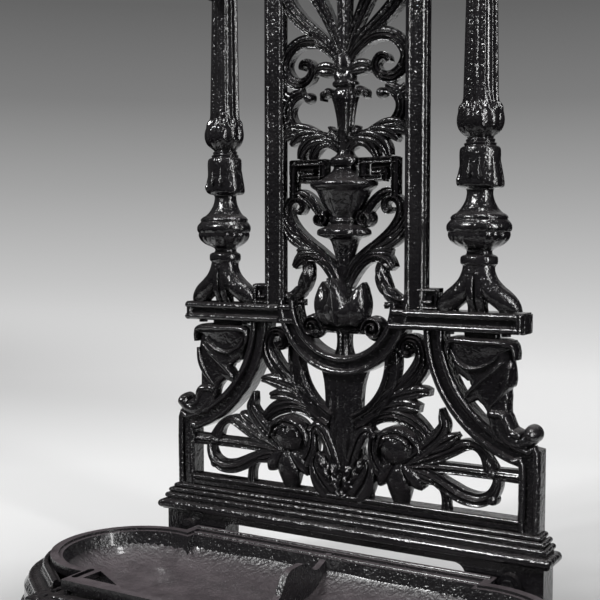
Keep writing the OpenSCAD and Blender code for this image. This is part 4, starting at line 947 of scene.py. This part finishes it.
class STAND_OT_studio(bpy.types.Operator):
    """Builds the pale floor and backdrop, the soft lights and the camera."""

    bl_idname = "stand.studio"
    bl_label = "Studio"

    def execute(self, context):
        studio = context.scene.stand_studio
        self.cyclorama(studio)
        self.area("key_light", (-0.9, -1.5, 2.2), (0.0, 0.0, 0.4), (0.35, 0.5), studio.key_power)
        self.area("strip_light", (1.8, -0.45, 1.1), (0.0, 0.1, 0.5), (0.14, 2.0), studio.fill_power)
        self.area("top_light", (0.2, 0.3, 2.6), (0.0, 0.0, 0.3), (1.0, 0.25), studio.fill_power)
        self.camera(studio)
        context.scene.view_settings.view_transform = "Standard"
        return {"FINISHED"}

    def cyclorama(self, studio):
        """A floor that curves up into a wall: a quarter circle joins the two, and the profile runs sideways."""
        front, flat, bend, radius, top, side = -3.0, 1.0, 1.2, 0.8, 5.0, 3.2
        a = np.radians(np.linspace(0, 90, 13))
        depth = np.concatenate([[front, flat], bend + radius * np.sin(a), [bend + radius]])
        height = np.concatenate([[0.0, 0.0], radius - radius * np.cos(a), [top]])
        x, y = np.meshgrid([-side, side], depth, indexing="ij")
        points = np.stack([x, y, np.broadcast_to(height, x.shape)], axis=-1).reshape(-1, 3)
        n = len(depth)
        faces = [(k, n + k, n + k + 1, k + 1) for k in range(n - 1)]
        mesh = bpy.data.meshes.new("studio_floor")
        mesh.from_pydata(points.tolist(), [], faces)
        mesh.polygons.foreach_set("use_smooth", np.ones(len(faces), bool))
        mesh.materials.append(self.backdrop(studio))
        floor = bpy.data.objects.new("studio_floor", mesh)
        bpy.context.scene.collection.objects.link(floor)
        self.room()

    def room(self):
        """The room past the paper: pale to the camera, and dim as a light and in reflections."""
        dim, pale = 0.07, 0.75
        room = bpy.data.worlds.new("studio_world")
        room.use_nodes = True
        seen = room.node_tree.nodes.new("ShaderNodeLightPath")
        level = room.node_tree.nodes.new("ShaderNodeMapRange")
        level.inputs[3].default_value, level.inputs[4].default_value = dim, pale
        links, ground = room.node_tree.links, room.node_tree.nodes["Background"]
        ground.inputs[0].default_value = rgb((1.0, 1.0, 1.0))
        links.new(seen.outputs["Is Camera Ray"], level.inputs[0])
        links.new(level.outputs[0], ground.inputs[1])
        bpy.context.scene.world = room

    def backdrop(self, studio):
        """Paper whose own glow, for the camera, goes by the slope from the eye, and less near the floor, so that
        shadows show. Light that isn't on its way to the camera finds it pale near the stand and black elsewhere.
        Seen from behind it is clear."""
        s = Shader("studio_paper")
        x, y, z = (s.node("ShaderNodeSeparateXYZ", {}, {0: s.place}, k) for k in range(3))
        plan = s.node("ShaderNodeCombineXYZ", {}, {0: x, 1: y})
        away = s.node("ShaderNodeVectorMath", {"operation": "DISTANCE"}, {0: plan, 1: (*studio.eye[:2], 0.0)}, 1)
        slope = (z - studio.eye[2]) * away**-1
        # The ramp is the paper's painted light and shade: painted shade at the bottom, brightest below the eye, darker
        # upwards. It colours the glow and most of the paint.
        ramp = s.node("ShaderNodeValToRGB", {"stops": PAINTED_PAPER_LIGHT}, {0: slope * RAMP_SLOPE + RAMP_LEVEL})
        glow = s.node("ShaderNodeEmission", {}, {"Color": ramp, "Strength": 1.0})
        seen = s.node("ShaderNodeLightPath", {}, {}, "Is Camera Ray")
        near = x.between(-1.0, -0.8) * (1.0 - x.between(0.45, 0.55)) * y.between(-0.4, -0.3)
        pale = s.blend(0.7, rgb(studio.floor), ramp)
        pale = s.blend(near + (1.0 - near) * seen, rgb((0.0, 0.0, 0.0)), pale)
        paint = s.node("ShaderNodeBsdfDiffuse", {}, {"Color": pale})
        share = z.between(0.0, 0.2) * 0.6 + 0.4
        mixed = s.node("ShaderNodeMixShader", {}, {0: seen * share, 1: paint, 2: glow})
        behind = s.node("ShaderNodeNewGeometry", {}, {}, "Backfacing")
        clear = s.node("ShaderNodeBsdfTransparent", {}, {})
        return s.output(s.node("ShaderNodeMixShader", {}, {0: behind, 1: mixed, 2: clear}))

    def area(self, name, place, aim, size, power):
        """A rectangular light that looks from its place to its aim, with its X level."""
        light = bpy.data.lights.new(name, "AREA")
        light.shape, light.size, light.size_y, light.energy = "RECTANGLE", *size, power
        lamp = bpy.data.objects.new(name, light)
        lamp.location = place
        x, y, z = np.subtract(aim, place)
        lamp.rotation_euler = (math.acos(-z / math.hypot(x, y, z)), 0.0, math.atan2(-x, y))
        bpy.context.scene.collection.objects.link(lamp)

    def camera(self, studio):
        """The camera stands off to the right, a little under half the stand's height, and looks slightly down."""
        azimuth, pitch = math.radians(30.80), math.radians(3.44)
        data = bpy.data.cameras.new("studio_camera")
        data.lens, data.sensor_width = studio.lens, 36.0
        camera = bpy.data.objects.new("studio_camera", data)
        camera.location = studio.eye
        camera.rotation_euler = (math.pi / 2 - pitch, 0.0, azimuth)
        bpy.context.scene.collection.objects.link(camera)
        bpy.context.scene.camera = camera


class STAND_PT_sidebar(bpy.types.Panel):
    """Lists the stand's colours and the buttons that build its pieces."""

    bl_label = "Umbrella Stand"
    bl_idname = "STAND_PT_sidebar"
    bl_space_type = "VIEW_3D"
    bl_region_type = "UI"
    bl_category = "Umbrella Stand"

    def draw(self, context):
        for group in (context.scene.stand_finish, context.scene.stand_studio):
            rows = self.layout.column()
            for key in group.bl_rna.properties.keys():
                if key not in ("rna_type", "name"):
                    rows.prop(group, key)
        for operator in OPERATORS:
            self.layout.operator(operator.bl_idname)


OPERATORS = (
    STAND_OT_castings, STAND_OT_pan_lining, STAND_OT_centre_frame, STAND_OT_bands, STAND_OT_lower_panel,
    STAND_OT_bracket_legs, STAND_OT_columns, STAND_OT_centre_ornament, STAND_OT_palmette, STAND_OT_crown,
    STAND_OT_studio)
CLASSES = (StandFinish, StandStudio, *OPERATORS, STAND_PT_sidebar)


def register():
    for cls in CLASSES:
        bpy.utils.register_class(cls)
    bpy.types.Scene.stand_finish = bpy.props.PointerProperty(type=StandFinish)
    bpy.types.Scene.stand_studio = bpy.props.PointerProperty(type=StandStudio)


def unregister():
    del bpy.types.Scene.stand_studio
    del bpy.types.Scene.stand_finish
    for cls in reversed(CLASSES):
        bpy.utils.unregister_class(cls)


def main():
    """Builds the stand and its studio."""
    register()
    for operator in OPERATORS:
        group, name = operator.bl_idname.split(".")
        getattr(getattr(bpy.ops, group), name)()


if __name__ == "__main__":
    main()
